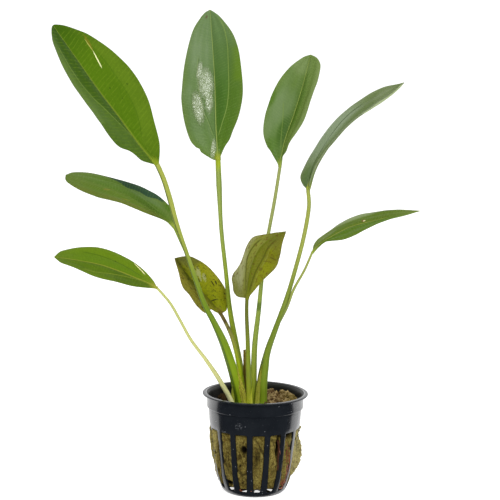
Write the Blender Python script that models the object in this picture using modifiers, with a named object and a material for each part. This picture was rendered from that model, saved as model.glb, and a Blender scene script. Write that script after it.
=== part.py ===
"""A sword plant with nine long-stalked leaves, rooted in rock wool in a slotted net pot.

The origin is the middle of the pot's underside, with +Z up. The viewer of the photograph looks along +Y, so
-Y is the front. Sizes below are in millimetres, and are turned into metres where the meshes are made.
"""
import math

import bmesh
import bpy
import numpy as np
from mathutils import Vector

MM = 0.001
GAP = 0.3                                   # clearance between pieces that touch

# Pot: outer radius and height, from the lip down to the foot
POT_HEIGHT = 51.4
LIP_RADIUS, LIP_THICKNESS, LIP_INNER_RADIUS = 27.5, 0.8, 25.4
COLLAR_RADIUS, COLLAR_FOOT = 25.2, 44.4
WALL, FOOT_WALL = 0.9, 0.6
LIP_ROOT, LIP_WEB = 1.2, 1.0                # depths at which the lip's underside and inside meet the collar
STEP_LIFT = 0.3                             # how much higher the steps lie on the inner side than on the outer
BODY_PROFILE = ((24.2, 42.0), (23.8, 36.4), (22.7, 28.0), (21.6, 18.7), (20.0, 9.7), (18.7, 5.3), (17.4, 2.0))
FOOT_RADIUS = 15.2
SEGMENTS = 64
SLOTS, SLOT_TURN = 16, 4.9                  # one slot is turned this many degrees from the front towards +X
RIB_WIDTH = 3.0
SLOT_TOP, SLOT_BOTTOM = 34.0, 2.6
CUT_FROM, CUT_TO, CUT_FLARE = 9.0, 32.0, 0.25   # radii that a slot's cutter spans, and how it widens outwards
FLOOR_THICKNESS = 1.2
HUB_RADIUS, FLOOR_RING_RADIUS = 4.5, 14.0
SPOKES, SPOKE_WIDTH = 8, 2.6

# Rock wool: it fills the pot, stands proud in the slots and is higher on the right
WOOL_BOTTOM, WOOL_SHOULDER = 4.7, 40.0
WOOL_TOP_LEFT, WOOL_TOP_RIGHT = 43.5, 48.5
WOOL_IN_SLOT = 0.3                          # how far it stays behind the wall's outer side
WOOL_SLACK = 0.2                            # room behind the ribs, beyond the gap
WOOL_RINGS = (WOOL_BOTTOM, 8.0, 12.0, 17.0, 22.0, 27.0, 32.6, 33.2, WOOL_SHOULDER)
WOOL_TOP_RADII = (21.8, 17.5)
PROUD_TURN, BEHIND_TURN = 5.5, 6.3          # degrees from a slot's middle to where the wool steps back
PROUD_LOW, PROUD_HIGH = 4.1, 33.0           # heights between which it fills the slots
RISE_FROM, RISE_OVER = -6.0, 20.0           # along X, the slope of its top from left to right
LUMP_HEIGHT = 0.5
BULGE, BULGE_AT, BULGE_LOW, BULGE_HIGH = 2.9, 94.9, 8.0, 28.0
BULGE_POWER = 0.7                           # below 1 it makes the bulge's outline fuller
ROOT_SLOTS, ROOT_HOLLOW = (27.4, 49.9), 1.3
NEAR_SLOT = 10.0                            # degrees to either side that count as the same slot
POCKET_RADIUS, POCKET_FLOOR_RADIUS, POCKET_BOTTOM = 12.2, 10.6, 32.6

# Crown, the squat rootstock that the stalks stand on
CROWN_AT = (-3.3, 0.0)
CROWN_RADIUS, CROWN_BOTTOM, CROWN_TOP = 9.4, 33.0, 36.5
CROWN_SHOULDER, CROWN_DROP, CROWN_TAPER = 1.5, 1.2, 0.6
CROWN_SEGMENTS = 24

BLADE_THICKNESS, NECK_THICKNESS = 0.8, 1.9
NECK_FADE = 6                               # power by which the neck's width gives way to the blade's
LEAST_WIDTH = 0.25
BLADE_ROWS, HALF_BLADE_COLUMNS = 12, 2
STALK_POINTS = 14
STALK_FOOT = 1.5                            # length at its foot over which a stalk stands upright
STATIONS = (0.03, 0.1, 0.3, 0.5, 0.7, 0.9)  # parts of a blade's length at which its half widths are given

# Each leaf: the stalk's route and radii from crown to neck, the midrib from neck to tip, the way the upper side
# faces at neck and tip, and for each half of the blade (left and right as the viewer sees them) its widths at
# the stations and the angles in degrees by which it rises towards the upper side at neck and tip
LEAVES = {
    "upper_left": {
        "stalk": ((-5.8, -2.2, 36.9), (-7.1, -3.0, 46.1), (-9.8, -4.0, 57.4), (-13.1, -5.5, 68.7), (-16.9, -7.5, 79.4),
                  (-22.1, -10.0, 90.1), (-27.1, -12.0, 100.2), (-34.0, -15.0, 120.3), (-40.6, -17.0, 139.8),
                  (-44.0, -18.0, 152.0), (-47.1, -18.5, 161.9)),
        "radii": (2.3, 2.1, 1.6, 1.2, 1.1, 1.05),
        "midrib": ((-50.6, -19.0, 169.8), (-59.0, -21.0, 179.5), (-68.5, -24.0, 192.6), (-77.8, -27.5, 204.9),
                   (-86.9, -31.0, 218.0), (-98.8, -37.0, 235.3)),
        "faces": ((0.42, 0.85, 0.2), (0.42, 0.85, 0.2)),
        "left": ((5.0, 9.5, 18.5, 18.3, 16.0, 8.8), (25, 25)),
        "right": ((3.8, 8.4, 16.0, 19.0, 16.0, 8.2), (25, 25)),
        "colour": (0.10, 0.26, 0.02)},
    "top": {
        "stalk": ((-6.4, 5.3, 36.9), (-6.9, 5.8, 44.0), (-7.3, 6.3, 53.5), (-8.5, 7.2, 64.0), (-10.2, 8.2, 72.9),
                  (-14.0, 9.5, 92.8), (-16.4, 9.7, 112.9), (-19.1, 11.5, 134.8), (-20.5, 13.5, 155.6)),
        "radii": (1.7, 1.7, 1.5, 1.2, 0.95, 0.9, 1.15),
        "midrib": ((-21.4, 15.0, 171.2), (-22.8, 17.0, 189.3), (-23.6, 20.0, 207.6), (-24.6, 23.5, 222.0),
                   (-27.1, 30.0, 249.9)),
        "faces": ((-0.05, -1.0, 0.2), (-0.05, -1.0, 0.2)),
        "left": ((5.2, 12.0, 17.3, 17.3, 14.2, 8.0), (12, 12)),
        "right": ((1.8, 5.8, 13.7, 15.8, 15.2, 7.7), (20, 20)),
        "colour": (0.09, 0.22, 0.03)},
    "upper_right": {
        "stalk": ((-0.9, 1.0, 36.9), (-0.6, 1.0, 45.2), (-1.0, 2.2, 57.2), (-0.7, 4.5, 75.3), (1.1, 7.0, 93.5),
                  (2.9, 10.0, 114.2), (5.0, 12.5, 129.8), (8.6, 15.5, 150.7)),
        "radii": (1.3, 1.35, 1.2, 0.9, 0.8, 0.8),
        "midrib": ((11.1, 18.0, 167.9), (13.4, 20.5, 181.0), (18.1, 24.0, 195.2), (22.6, 27.5, 210.5),
                   (26.8, 32.0, 227.4)),
        "faces": ((-0.65, -0.75, 0.1), (-0.25, -0.95, 0.2)),
        "left": ((1.8, 6.5, 13.9, 14.6, 13.1, 6.6), (30, 25)),
        "right": ((1.0, 4.2, 9.2, 11.0, 11.0, 7.8), (32, 25)),
        "colour": (0.09, 0.22, 0.03)},
    "arching_right": {
        "stalk": ((2.8, -2.6, 36.9), (4.1, -2.0, 46.0), (4.1, -2.0, 55.6), (4.9, -2.0, 65.1), (6.2, -2.0, 74.0),
                  (11.5, -2.0, 89.9), (15.0, -1.0, 100.2), (18.1, 0.0, 110.5), (23.3, 1.0, 131.2), (25.9, 1.0, 147.8)),
        "radii": (1.7, 1.9, 1.4, 1.15, 1.05, 1.0),
        "midrib": ((25.3, 1.0, 157.0), (29.6, 2.0, 169.5), (37.5, 2.0, 182.2), (46.5, 1.0, 192.2),
                   (56.2, -1.0, 199.9), (71.8, -7.0, 212.0)),
        "faces": ((-0.75, -0.35, 0.5), (-0.5, -0.4, 0.8)),
        "left": ((6.0, 10.8, 10.5, 11.2, 11.3, 4.6), (5, 5)),
        "right": ((2.5, 7.0, 11.0, 12.0, 10.5, 6.0), (33, 12)),
        "colour": (0.08, 0.20, 0.03)},
    "low_right": {
        "stalk": ((1.2, 4.0, 36.9), (1.8, 3.8, 44.6), (1.8, 3.8, 52.6), (2.8, 3.8, 62.2), (7.2, 3.2, 78.3),
                  (15.2, 0.5, 95.3), (18.7, -2.3, 105.6), (24.0, -6.5, 116.6)),
        "radii": (1.1, 1.05, 0.85, 0.8, 0.7, 0.6),
        "midrib": ((27.5, -9.0, 125.7), (33.6, -10.5, 132.0), (46.0, -13.5, 139.4), (60.6, -17.0, 143.9),
                   (79.8, -21.0, 148.8)),
        "faces": ((-0.5, -0.4, 0.8), (-0.3, -0.4, 0.9)),
        "left": ((2.5, 4.8, 7.2, 7.6, 6.4, 2.5), (0, 10)),
        "right": ((0.9, 1.6, 8.4, 9.6, 4.2, 1.8), (0, 18)),
        "colour": (0.09, 0.21, 0.03)},
    "mid_left": {
        "stalk": ((-8.6, 1.0, 36.9), (-9.7, 1.5, 45.0), (-11.4, 1.8, 54.4), (-14.2, 2.2, 64.9), (-18.3, 2.7, 77.0),
                  (-23.7, 3.5, 89.4), (-28.0, 4.5, 99.2), (-35.1, 6.0, 118.3)),
        "radii": (1.3, 1.2, 1.1, 1.0, 0.9),
        "midrib": ((-43.2, 8.0, 135.7), (-49.6, 9.5, 141.3), (-62.4, 12.5, 148.6), (-77.9, 15.5, 155.4),
                   (-102.0, 20.0, 161.8)),
        "faces": ((0.3, -0.6, 0.8), (0.3, -0.6, 0.8)),
        "left": ((1.0, 3.0, 7.0, 8.8, 9.0, 5.5), (20, -7)),
        "right": ((1.6, 5.0, 9.7, 9.9, 7.9, 6.6), (15, -7)),
        "colour": (0.08, 0.20, 0.03)},
    "low_left": {
        "stalk": ((-9.4, -4.6, 36.9), (-12.6, -6.0, 47.8), (-18.6, -8.0, 59.2), (-25.5, -10.5, 70.0),
                  (-33.1, -13.5, 80.8), (-38.7, -16.0, 91.4), (-43.6, -18.5, 100.4)),
        "radii": (1.3, 1.3, 1.2, 0.8, 0.7, 0.65),
        "midrib": ((-49.9, -21.5, 108.3), (-58.2, -24.0, 112.5), (-77.0, -32.0, 120.7), (-97.9, -41.0, 125.3)),
        "faces": ((0.2, -0.75, 0.8), (0.2, -0.75, 0.8)),
        "left": ((1.2, 3.2, 7.0, 8.8, 7.4, 3.8), (5, 5)),
        "right": ((1.6, 4.4, 8.9, 10.0, 8.6, 4.1), (5, 5)),
        "colour": (0.13, 0.28, 0.03)},
    "old_left": {
        "stalk": ((-4.9, 2.0, 36.9), (-5.7, 1.2, 45.1), (-7.3, 1.5, 58.3), (-9.3, 2.6, 67.6), (-12.1, 4.5, 77.8),
                  (-15.5, 8.5, 85.0)),
        "radii": (1.05, 1.05, 1.0, 0.9),
        "midrib": ((-18.7, 12.0, 90.1), (-24.6, 14.0, 94.8), (-33.0, 17.5, 104.4), (-44.1, 21.0, 118.4)),
        "faces": ((0.45, -0.75, 0.5), (0.45, -0.75, 0.5)),
        "left": ((3.5, 7.0, 10.5, 10.3, 8.0, 3.8), (25, 25)),
        "right": ((5.8, 9.5, 12.3, 12.8, 10.7, 6.0), (25, 25)),
        "colour": (0.20, 0.22, 0.03)},
    "old_centre": {
        "stalk": ((-1.8, -4.0, 36.9), (-2.9, -4.5, 46.5), (-3.9, -6.5, 66.9), (-4.4, -9.0, 80.4), (-5.1, -12.0, 93.8)),
        "radii": (1.3, 1.25, 1.05, 0.9, 0.8),
        "midrib": ((-5.1, -14.0, 102.3), (-4.6, -15.5, 107.2), (-3.3, -17.5, 117.6), (0.2, -18.0, 126.8),
                   (5.0, -17.0, 132.3), (14.0, -14.0, 137.0)),
        "faces": ((0.5, 0.8, 0.3), (0.2, 0.9, 0.3)),
        "left": ((11.5, 12.9, 9.6, 7.4, 5.1, 1.4), (25, 15)),
        "right": ((1.4, 3.4, 8.2, 11.8, 11.7, 7.2), (25, 15)),
        "colour": (0.19, 0.21, 0.05)},
}

# The cut stump of a dead leaf, between the stalks
STUMP_ROUTE = ((-3.2, 4.6, 36.9), (-4.4, 3.6, 46.6), (-5.4, 3.1, 54.6), (-6.0, 3.0, 73.0))
STUMP_RADII = (0.8, 0.8, 0.8, 0.7)

# Roots in the slots on the right: turn from the front and height of each end, and the radius of the root
ROOTS = (((46.0, 19.0), (49.0, 5.5), 0.6), ((52.5, 22.0), (53.0, 6.0), 0.55), ((31.8, 26.0), (31.2, 15.0), 0.5))
ROOT_LIFT = 0.3                             # how far a root's middle stands out past the wool's side
ROOT_PARTS = (0.0, 0.33, 0.67, 1.0)

# Colours are linear red, green and blue
POT_BLACK = (0.012, 0.014, 0.018)
WOOL_OCHRE = (0.27, 0.20, 0.07)
CROWN_BROWN = (0.20, 0.17, 0.06)
STALK_GREEN = (0.22, 0.30, 0.05)
DEAD_BROWN = (0.10, 0.07, 0.02)
ROOT_BROWN = (0.16, 0.06, 0.03)


def new_collection(name):
    collection = bpy.data.collections.new(name)
    bpy.context.scene.collection.children.link(collection)
    return collection


def new_material(name, colour, roughness):
    material = bpy.data.materials.new(name)
    material.use_nodes = True
    shader = material.node_tree.nodes["Principled BSDF"]
    shader.inputs["Base Color"].default_value = (*colour, 1.0)
    shader.inputs["Roughness"].default_value = roughness
    return material


def add_object(name, data, collection, material=None):
    thing = bpy.data.objects.new(name, data)
    collection.objects.link(thing)
    if material:
        data.materials.append(material)
    return thing


def mesh_from(bm, name):
    mesh = bpy.data.meshes.new(name)
    bm.to_mesh(mesh)
    bm.free()
    return mesh


def smooth_curve(points, steps=16):
    """A smooth curve through the points, as a fine chain with the length run at each of its points."""
    knots = np.array(points, float)
    knots = np.vstack((2 * knots[0] - knots[1], knots, 2 * knots[-1] - knots[-2]))
    chain = []
    for a, b, c, d in zip(knots, knots[1:], knots[2:], knots[3:]):
        for t in np.arange(steps) / steps:
            chain.append(0.5 * (2 * b + (c - a) * t + (2 * a - 5 * b + 4 * c - d) * t ** 2
                                + (3 * b - a - 3 * c + d) * t ** 3))
    chain = np.array(chain + [knots[-2]])
    run = np.concatenate(([0.0], np.cumsum(np.linalg.norm(np.diff(chain, axis=0), axis=1))))
    return chain, run


def at_length(chain, run, length):
    return np.array([np.interp(length, run, chain[:, axis]) for axis in range(3)])


def unit(vector):
    return vector / np.linalg.norm(vector)


def half_width(widths, t):
    """Half width of a blade at a part t of its length: a smooth curve over the stations, round at both ends."""
    angle = math.acos(1 - 2 * t)
    angles = np.array([0.0] + [math.acos(1 - 2 * s) for s in STATIONS] + [math.pi])
    values = np.array([0.0, *widths, 0.0])
    slopes = np.gradient(values, angles)
    i = min(int(np.searchsorted(angles, angle, side="right")) - 1, len(angles) - 2)
    h = angles[i + 1] - angles[i]
    u = (angle - angles[i]) / h
    return ((1 + 2 * u) * (1 - u) ** 2 * values[i] + u * (1 - u) ** 2 * h * slopes[i]
            + u ** 2 * (3 - 2 * u) * values[i + 1] + u ** 2 * (u - 1) * h * slopes[i + 1])


def blade_point(leaf, chain, run, t, v):
    """A point of the blade's middle surface, at part t of its length and v across it (-1 left, 0 rib, 1 right)."""
    start = GAP / 2 + t * (run[-1] - GAP / 2)
    rib = at_length(chain, run, start)
    along = unit(at_length(chain, run, start + 0.5) - at_length(chain, run, start - 0.5))
    face = unit(np.array(leaf["faces"][0]) * (1 - t) + np.array(leaf["faces"][1]) * t)
    across = unit(np.cross(along, face))
    if across[0] * along[2] - across[2] * along[0] < 0:
        across = -across
    upper = unit(face - along * np.dot(face, along))
    widths, rises = leaf["left"] if v < 0 else leaf["right"]
    rise = math.radians(rises[0] * (1 - t) + rises[1] * t)
    neck = NECK_THICKNESS / 2 * (1 - t) ** NECK_FADE
    width = max(half_width(widths, t), neck, LEAST_WIDTH)
    return rib + width * (v * across * math.cos(rise) + abs(v) * upper * math.sin(rise))


def build_blade(name, leaf, collection):
    chain, run = smooth_curve(leaf["midrib"])
    bm = bmesh.new()
    bmesh.ops.create_grid(bm, x_segments=2 * HALF_BLADE_COLUMNS, y_segments=BLADE_ROWS, size=1.0)
    thickness = bm.verts.layers.deform.new()
    for vert in bm.verts:
        v, along = vert.co.x, (vert.co.y + 1) / 2
        t = (1 - math.cos(math.pi * along)) / 2
        vert.co = Vector(blade_point(leaf, chain, run, t, v) * MM)
        vert[thickness][0] = max(0.0, (1 - abs(v)) * (1 - t) ** 2)
    blade = add_object("leaf_" + name, mesh_from(bm, "leaf_" + name), collection,
                       new_material("leaf_" + name, leaf["colour"], 0.4))
    blade.vertex_groups.new(name="midrib")
    shell = blade.modifiers.new("Thickness", "SOLIDIFY")
    shell.thickness = NECK_THICKNESS * MM
    shell.vertex_group = "midrib"
    shell.thickness_vertex_group = BLADE_THICKNESS / NECK_THICKNESS
    shell.offset = 0.0


def build_rod(name, route, radii, collection, material, points=STALK_POINTS, resolution=2, cut=0.0):
    """A tapered round rod along a route, which stops short of the route's end by the cut."""
    chain, run = smooth_curve(route)
    curve = bpy.data.curves.new(name, "CURVE")
    curve.dimensions = "3D"
    curve.bevel_depth = MM
    curve.bevel_resolution = resolution
    curve.use_fill_caps = True
    spline = curve.splines.new("POLY")
    spline.points.add(points - 1)
    for i, point in enumerate(spline.points):
        part = i / (points - 1)
        point.co = (*(at_length(chain, run, part * (run[-1] - cut)) * MM), 1.0)
        point.radius = float(np.interp(part, np.linspace(0, 1, len(radii)), radii))
    spline.use_smooth = True
    return add_object(name, curve, collection, material)


def build_leaves(collection):
    for name, leaf in LEAVES.items():
        build_blade(name, leaf, collection)
        stalk = new_material("stalk_" + name, STALK_GREEN, 0.4)
        foot = leaf["stalk"][0]
        route = (foot, (foot[0], foot[1], foot[2] + STALK_FOOT)) + leaf["stalk"][1:] + (leaf["midrib"][0],)
        build_rod("stalk_" + name, route, leaf["radii"], collection, stalk, cut=GAP / 2)


def body_radius(height):
    """Outer radius of the pot's wall below the collar."""
    radii, heights = zip(*BODY_PROFILE[::-1])
    return float(np.interp(height, heights, radii))


def pot_profile():
    """The wall's section: down the outer side from the lip, across the floor, and up the inner side."""
    outer = [(LIP_INNER_RADIUS, POT_HEIGHT), (LIP_RADIUS, POT_HEIGHT), (LIP_RADIUS, POT_HEIGHT - LIP_THICKNESS),
             (COLLAR_RADIUS, POT_HEIGHT - LIP_ROOT), (COLLAR_RADIUS, COLLAR_FOOT), *BODY_PROFILE, (FOOT_RADIUS, 0.0)]
    inner = [(FOOT_RADIUS - FOOT_WALL, FLOOR_THICKNESS)]
    inner += [(radius - WALL, height + STEP_LIFT) for radius, height in reversed(BODY_PROFILE)]
    inner += [(COLLAR_RADIUS - WALL, COLLAR_FOOT + STEP_LIFT), (COLLAR_RADIUS - WALL, POT_HEIGHT - LIP_WEB)]
    return outer + [(0.0, 0.0), (0.0, FLOOR_THICKNESS)] + inner


def turned(name, profile, collection, material, segments=SEGMENTS):
    """A solid turned about the vertical through the origin, from a profile of radii and heights."""
    bm = bmesh.new()
    verts = [bm.verts.new((radius * MM, 0.0, height * MM)) for radius, height in profile]
    on_axis = [v for v in verts if v.co.x == 0.0]
    for a, b in zip(verts, verts[1:] + verts[:1]):
        if not (a in on_axis and b in on_axis):
            bm.edges.new((a, b))
    solid = add_object(name, mesh_from(bm, name), collection, material)
    screw = solid.modifiers.new("Turn", "SCREW")
    screw.steps = screw.render_steps = segments
    screw.use_merge_vertices = True
    screw.merge_threshold = 0.00001
    screw.use_normal_calculate = True
    return solid


def slot_cutter(cutters):
    """All the wall's slots in one cutter: upright wedges, narrower at the foot, which leave ribs of even width."""
    bm = bmesh.new()
    for k in range(SLOTS):
        turn = math.radians(SLOT_TURN + 360 / SLOTS * k)
        block = bmesh.ops.create_cube(bm, size=1.0)["verts"]
        for vert in block:
            height = SLOT_TOP if vert.co.z > 0 else SLOT_BOTTOM
            wall = body_radius(height)
            width = 2 * math.pi * wall / SLOTS - RIB_WIDTH
            out = CUT_TO if vert.co.y < 0 else CUT_FROM
            x = math.copysign(width / 2, vert.co.x) * (1 + CUT_FLARE * (out / wall - 1))
            y = -out
            vert.co = (MM * (x * math.cos(turn) - y * math.sin(turn)), MM * (x * math.sin(turn) + y * math.cos(turn)),
                       MM * height)
    return add_cutter("slots_cutter", bm, cutters)


def floor_cutter(cutters):
    """The gaps between the spokes of the floor."""
    bm = bmesh.new()
    depth = 3 * FLOOR_THICKNESS
    for k in range(SPOKES):
        middle = 2 * math.pi * (k + 0.5) / SPOKES
        half = math.pi / SPOKES
        block = bmesh.ops.create_cube(bm, size=1.0)["verts"]
        for vert in block:
            radius = FLOOR_RING_RADIUS if vert.co.y > 0 else HUB_RADIUS
            angle = middle + math.copysign(half - math.asin(SPOKE_WIDTH / 2 / radius), -vert.co.x)
            vert.co = (MM * radius * math.cos(angle), MM * radius * math.sin(angle),
                       MM * (FLOOR_THICKNESS / 2 + depth * vert.co.z))
    return add_cutter("floor_cutter", bm, cutters)


def add_cutter(name, bm, cutters):
    bmesh.ops.recalc_face_normals(bm, faces=bm.faces)
    cutter = add_object(name, mesh_from(bm, name), cutters)
    cutter.hide_render = True
    cutter.display_type = "WIRE"
    return cutter


def build_pot(collection, cutters):
    pot = turned("net_pot", pot_profile(), collection, new_material("net_pot", POT_BLACK, 0.4))
    for cutter in (slot_cutter(cutters), floor_cutter(cutters)):
        cut = pot.modifiers.new("Cut", "BOOLEAN")
        cut.operation = "DIFFERENCE"
        cut.solver = "EXACT"
        cut.object = cutter


def wool_radius(turn, height, in_slot):
    """Radius of the wool's side, at a turn in degrees from the front towards +X."""
    inside = body_radius(height) - WALL - GAP - WOOL_SLACK
    if not in_slot:
        return inside
    nearest = min(abs((turn - at + 180) % 360 - 180) for at in ROOT_SLOTS)
    if nearest < NEAR_SLOT:
        return inside - ROOT_HOLLOW
    proud = body_radius(height) - WOOL_IN_SLOT
    if abs(turn - BULGE_AT) < NEAR_SLOT and BULGE_LOW < height < BULGE_HIGH:
        rise = math.sin(math.pi * (height - BULGE_LOW) / (BULGE_HIGH - BULGE_LOW))
        proud += BULGE * rise ** BULGE_POWER
    return proud if PROUD_LOW < height < PROUD_HIGH else inside


def wool_top(x, y):
    """Height of the wool's uneven top, which rises towards the right."""
    share = min(max((x - RISE_FROM) / RISE_OVER, 0.0), 1.0)
    lumps = LUMP_HEIGHT * math.sin(0.35 * x + 1.0) * math.cos(0.3 * y)
    return WOOL_TOP_LEFT + (WOOL_TOP_RIGHT - WOOL_TOP_LEFT) * share ** 2 * (3 - 2 * share) + lumps


def build_wool(collection):
    """The wool is lofted through rings, from a point under it, up the side, over the top and into the pocket."""
    turns = []
    for k in range(SLOTS):
        middle = SLOT_TURN + 360 / SLOTS * k
        turns += [(middle - BEHIND_TURN, False), (middle - PROUD_TURN, True), (middle, True),
                  (middle + PROUD_TURN, True), (middle + BEHIND_TURN, False)]
    bm = bmesh.new()
    rings = []
    for height in WOOL_RINGS:
        rings.append([(wool_radius(turn, height, in_slot), turn, height) for turn, in_slot in turns])
    for radius in WOOL_TOP_RADII:
        rings.append([(radius, turn, None) for turn, _ in turns])
    loops = []
    for ring in rings:
        loop = []
        for radius, turn, height in ring:
            x, y = radius * math.sin(math.radians(turn)), -radius * math.cos(math.radians(turn))
            z = wool_top(x, y) if height is None else height
            loop.append(bm.verts.new((x * MM, y * MM, z * MM)))
        loops.append(loop)
    for radius, height in ((POCKET_RADIUS, None), (POCKET_FLOOR_RADIUS, POCKET_BOTTOM)):
        loop = []
        for turn, _ in turns:
            x = CROWN_AT[0] + radius * math.sin(math.radians(turn))
            y = CROWN_AT[1] - radius * math.cos(math.radians(turn))
            z = wool_top(x, y) if height is None else height
            loop.append(bm.verts.new((x * MM, y * MM, z * MM)))
        loops.append(loop)
    for lower, upper in zip(loops, loops[1:]):
        for i in range(len(lower)):
            j = (i + 1) % len(lower)
            bm.faces.new((lower[i], lower[j], upper[j], upper[i]))
    bm.faces.new(loops[0][::-1])
    bm.faces.new(loops[-1])
    bmesh.ops.recalc_face_normals(bm, faces=bm.faces)
    add_object("rock_wool", mesh_from(bm, "rock_wool"), collection,
               new_material("rock_wool", WOOL_OCHRE, 0.95))


def build_crown(collection):
    profile = ((0.0, CROWN_TOP), (CROWN_RADIUS - CROWN_SHOULDER, CROWN_TOP), (CROWN_RADIUS, CROWN_TOP - CROWN_DROP),
               (CROWN_RADIUS - CROWN_TAPER, CROWN_BOTTOM), (0.0, CROWN_BOTTOM))
    crown = turned("crown", profile, collection, new_material("crown", CROWN_BROWN, 0.7), CROWN_SEGMENTS)
    crown.location = (CROWN_AT[0] * MM, CROWN_AT[1] * MM, 0.0)


def build_roots(collection):
    brown = new_material("root", ROOT_BROWN, 0.6)
    for number, (top, bottom, radius) in enumerate(ROOTS, 1):
        route = []
        for part in ROOT_PARTS:
            turn = math.radians(top[0] * (1 - part) + bottom[0] * part)
            height = top[1] * (1 - part) + bottom[1] * part
            out = body_radius(height) - WALL - GAP - radius + ROOT_LIFT
            route.append((out * math.sin(turn), -out * math.cos(turn), height))
        build_rod("root_%d" % number, route, (radius, radius), collection, brown, points=5, resolution=1)


def main():
    for thing in list(bpy.data.objects):
        bpy.data.objects.remove(thing)
    parts = new_collection("potted_echinodorus")
    cutters = new_collection("cutters")
    build_pot(parts, cutters)
    build_wool(parts)
    build_crown(parts)
    build_leaves(parts)
    dead = new_material("cut_stump", DEAD_BROWN, 0.8)
    build_rod("cut_stump", STUMP_ROUTE, STUMP_RADII, parts, dead, points=6, resolution=1)
    build_roots(parts)


main()
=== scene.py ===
import math

import bpy
import numpy as np
from mathutils import Matrix, Vector, noise


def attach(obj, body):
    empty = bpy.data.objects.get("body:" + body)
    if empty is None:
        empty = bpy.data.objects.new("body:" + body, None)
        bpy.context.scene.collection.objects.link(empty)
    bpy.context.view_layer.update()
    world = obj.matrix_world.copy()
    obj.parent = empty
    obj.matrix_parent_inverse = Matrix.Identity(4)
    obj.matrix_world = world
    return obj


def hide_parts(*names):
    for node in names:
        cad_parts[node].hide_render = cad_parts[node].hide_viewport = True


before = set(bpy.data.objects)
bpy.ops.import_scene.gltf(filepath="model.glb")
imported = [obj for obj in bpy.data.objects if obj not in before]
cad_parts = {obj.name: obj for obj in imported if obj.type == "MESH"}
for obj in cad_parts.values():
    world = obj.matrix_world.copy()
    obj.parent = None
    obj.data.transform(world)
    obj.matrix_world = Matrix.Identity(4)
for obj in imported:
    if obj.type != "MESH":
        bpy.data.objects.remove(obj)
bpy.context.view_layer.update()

MM = 0.001

# Camera of the photograph, in millimetres and degrees
EYE = (-3.96, -600.0, 190.8)
LOOKS_DOWN, ROLL = 6.19, 0.92
LENS, SENSOR = 84.47, 36.0

# Pot: the radius of its wall at each height, and its slots, which are counted round from the one at SLOT_TURN degrees
BODY = ((15.2, 0.0), (16.0, 0.2), (16.8, 0.8), (17.4, 2.0), (18.7, 5.3), (20.0, 9.7), (21.6, 18.7), (22.7, 28.0),
        (23.8, 36.4), (24.2, 42.0), (24.35, 44.6))
WALL, FLOOR = 0.9, 1.2
SLOTS, SLOT_TURN = 16, 4.9
SLOT_BOTTOM, SLOT_TOP, CORNER = 2.6, 34.0, 0.5
ROUNDING = 0.16

# The block of wool
WOOL_FOOT, WOOL_TOP = 4.4, 44.4
SWOLLEN_SLOT = 4

# Leaf stalks, in millimetres: the route that the CAD solid follows, and the radii along it
STALKS = {
    "upper_left": (((-5.8, -2.2, 36.9), (-7.1, -3, 46.1), (-9.8, -4, 57.4), (-13.1, -5.5, 68.7), (-16.9, -7.5, 79.4),
                    (-22.1, -10, 90.1), (-27.1, -12, 100.2), (-34, -15, 120.3), (-40.6, -17, 139.8), (-44, -18, 152),
                    (-47.1, -18.5, 161.9)), (2.4, 2.25, 1.95, 1.4, 1.15, 1.05, 1.35)),
    "top": (((-6.4, 5.3, 36.9), (-6.9, 5.8, 44), (-7.3, 6.3, 53.5), (-8.5, 7.2, 64), (-10.2, 8.2, 72.9),
             (-14, 9.5, 92.8), (-16.4, 9.7, 112.9), (-19.1, 11.5, 134.8), (-20.5, 13.5, 155.6)),
            (2, 1.9, 1.7, 1.4, 1.2, 1.1, 1.1, 1.1, 1.5)),
    "upper_right": (((-0.9, 1, 36.9), (-0.6, 1, 45.2), (-1, 2.2, 57.2), (-0.7, 4.5, 75.3), (1.1, 7, 93.5),
                     (2.9, 10, 114.2), (5, 12.5, 129.8), (8.6, 15.5, 150.7)), (1.7, 1.6, 1.35, 1.1, 0.95, 0.95)),
    "arching_right": (((2.8, -2.6, 36.9), (4.1, -2, 46), (4.1, -2, 55.6), (4.9, -2, 65.1), (6.2, -2, 74),
                       (11.5, -2, 89.9), (15, -1, 100.2), (18.1, 0, 110.5), (23.3, 1, 131.2), (25.9, 1, 147.8)),
                      (1.8, 1.95, 1.5, 1.15, 1.1, 1.1)),
    "low_right": (((1.2, 4, 36.9), (1.8, 3.8, 44.6), (1.8, 3.8, 52.6), (2.8, 3.8, 62.2), (7.2, 3.2, 78.3),
                   (15.2, 0.5, 95.3), (18.7, -2.3, 105.6), (24, -6.5, 116.6)), (1.2, 1.15, 0.95, 0.85, 0.75, 0.65)),
    "mid_left": (((-8.6, 1, 36.9), (-9.7, 1.5, 45), (-11.4, 1.8, 54.4), (-14.2, 2.2, 64.9), (-18.3, 2.7, 77),
                  (-23.7, 3.5, 89.4), (-28, 4.5, 99.2), (-35.1, 6, 118.3)), (1.3, 1.2, 1.1, 1, 0.9)),
    "low_left": (((-9.4, -4.6, 36.9), (-12.6, -6, 47.8), (-18.6, -8, 59.2), (-25.5, -10.5, 70), (-33.1, -13.5, 80.8),
                  (-38.7, -16, 91.4), (-43.6, -18.5, 100.4)), (1.4, 1.3, 1.15, 0.88, 0.75, 0.7)),
    "old_left": (((-4.9, 2, 36.9), (-5.7, 1.2, 45.1), (-7.3, 1.5, 58.3), (-9.3, 2.6, 67.6), (-12.1, 4.5, 77.8),
                  (-15.5, 8.5, 85)), (1.2, 1.2, 1.15, 1.05)),
    "old_centre": (((-1.8, -4, 36.9), (-2.9, -4.5, 46.5), (-3.9, -6.5, 66.9), (-4.4, -9, 80.4), (-5.1, -12, 93.8)),
                   (1.8, 1.6, 1.3, 1.15, 1)),
}

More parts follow.
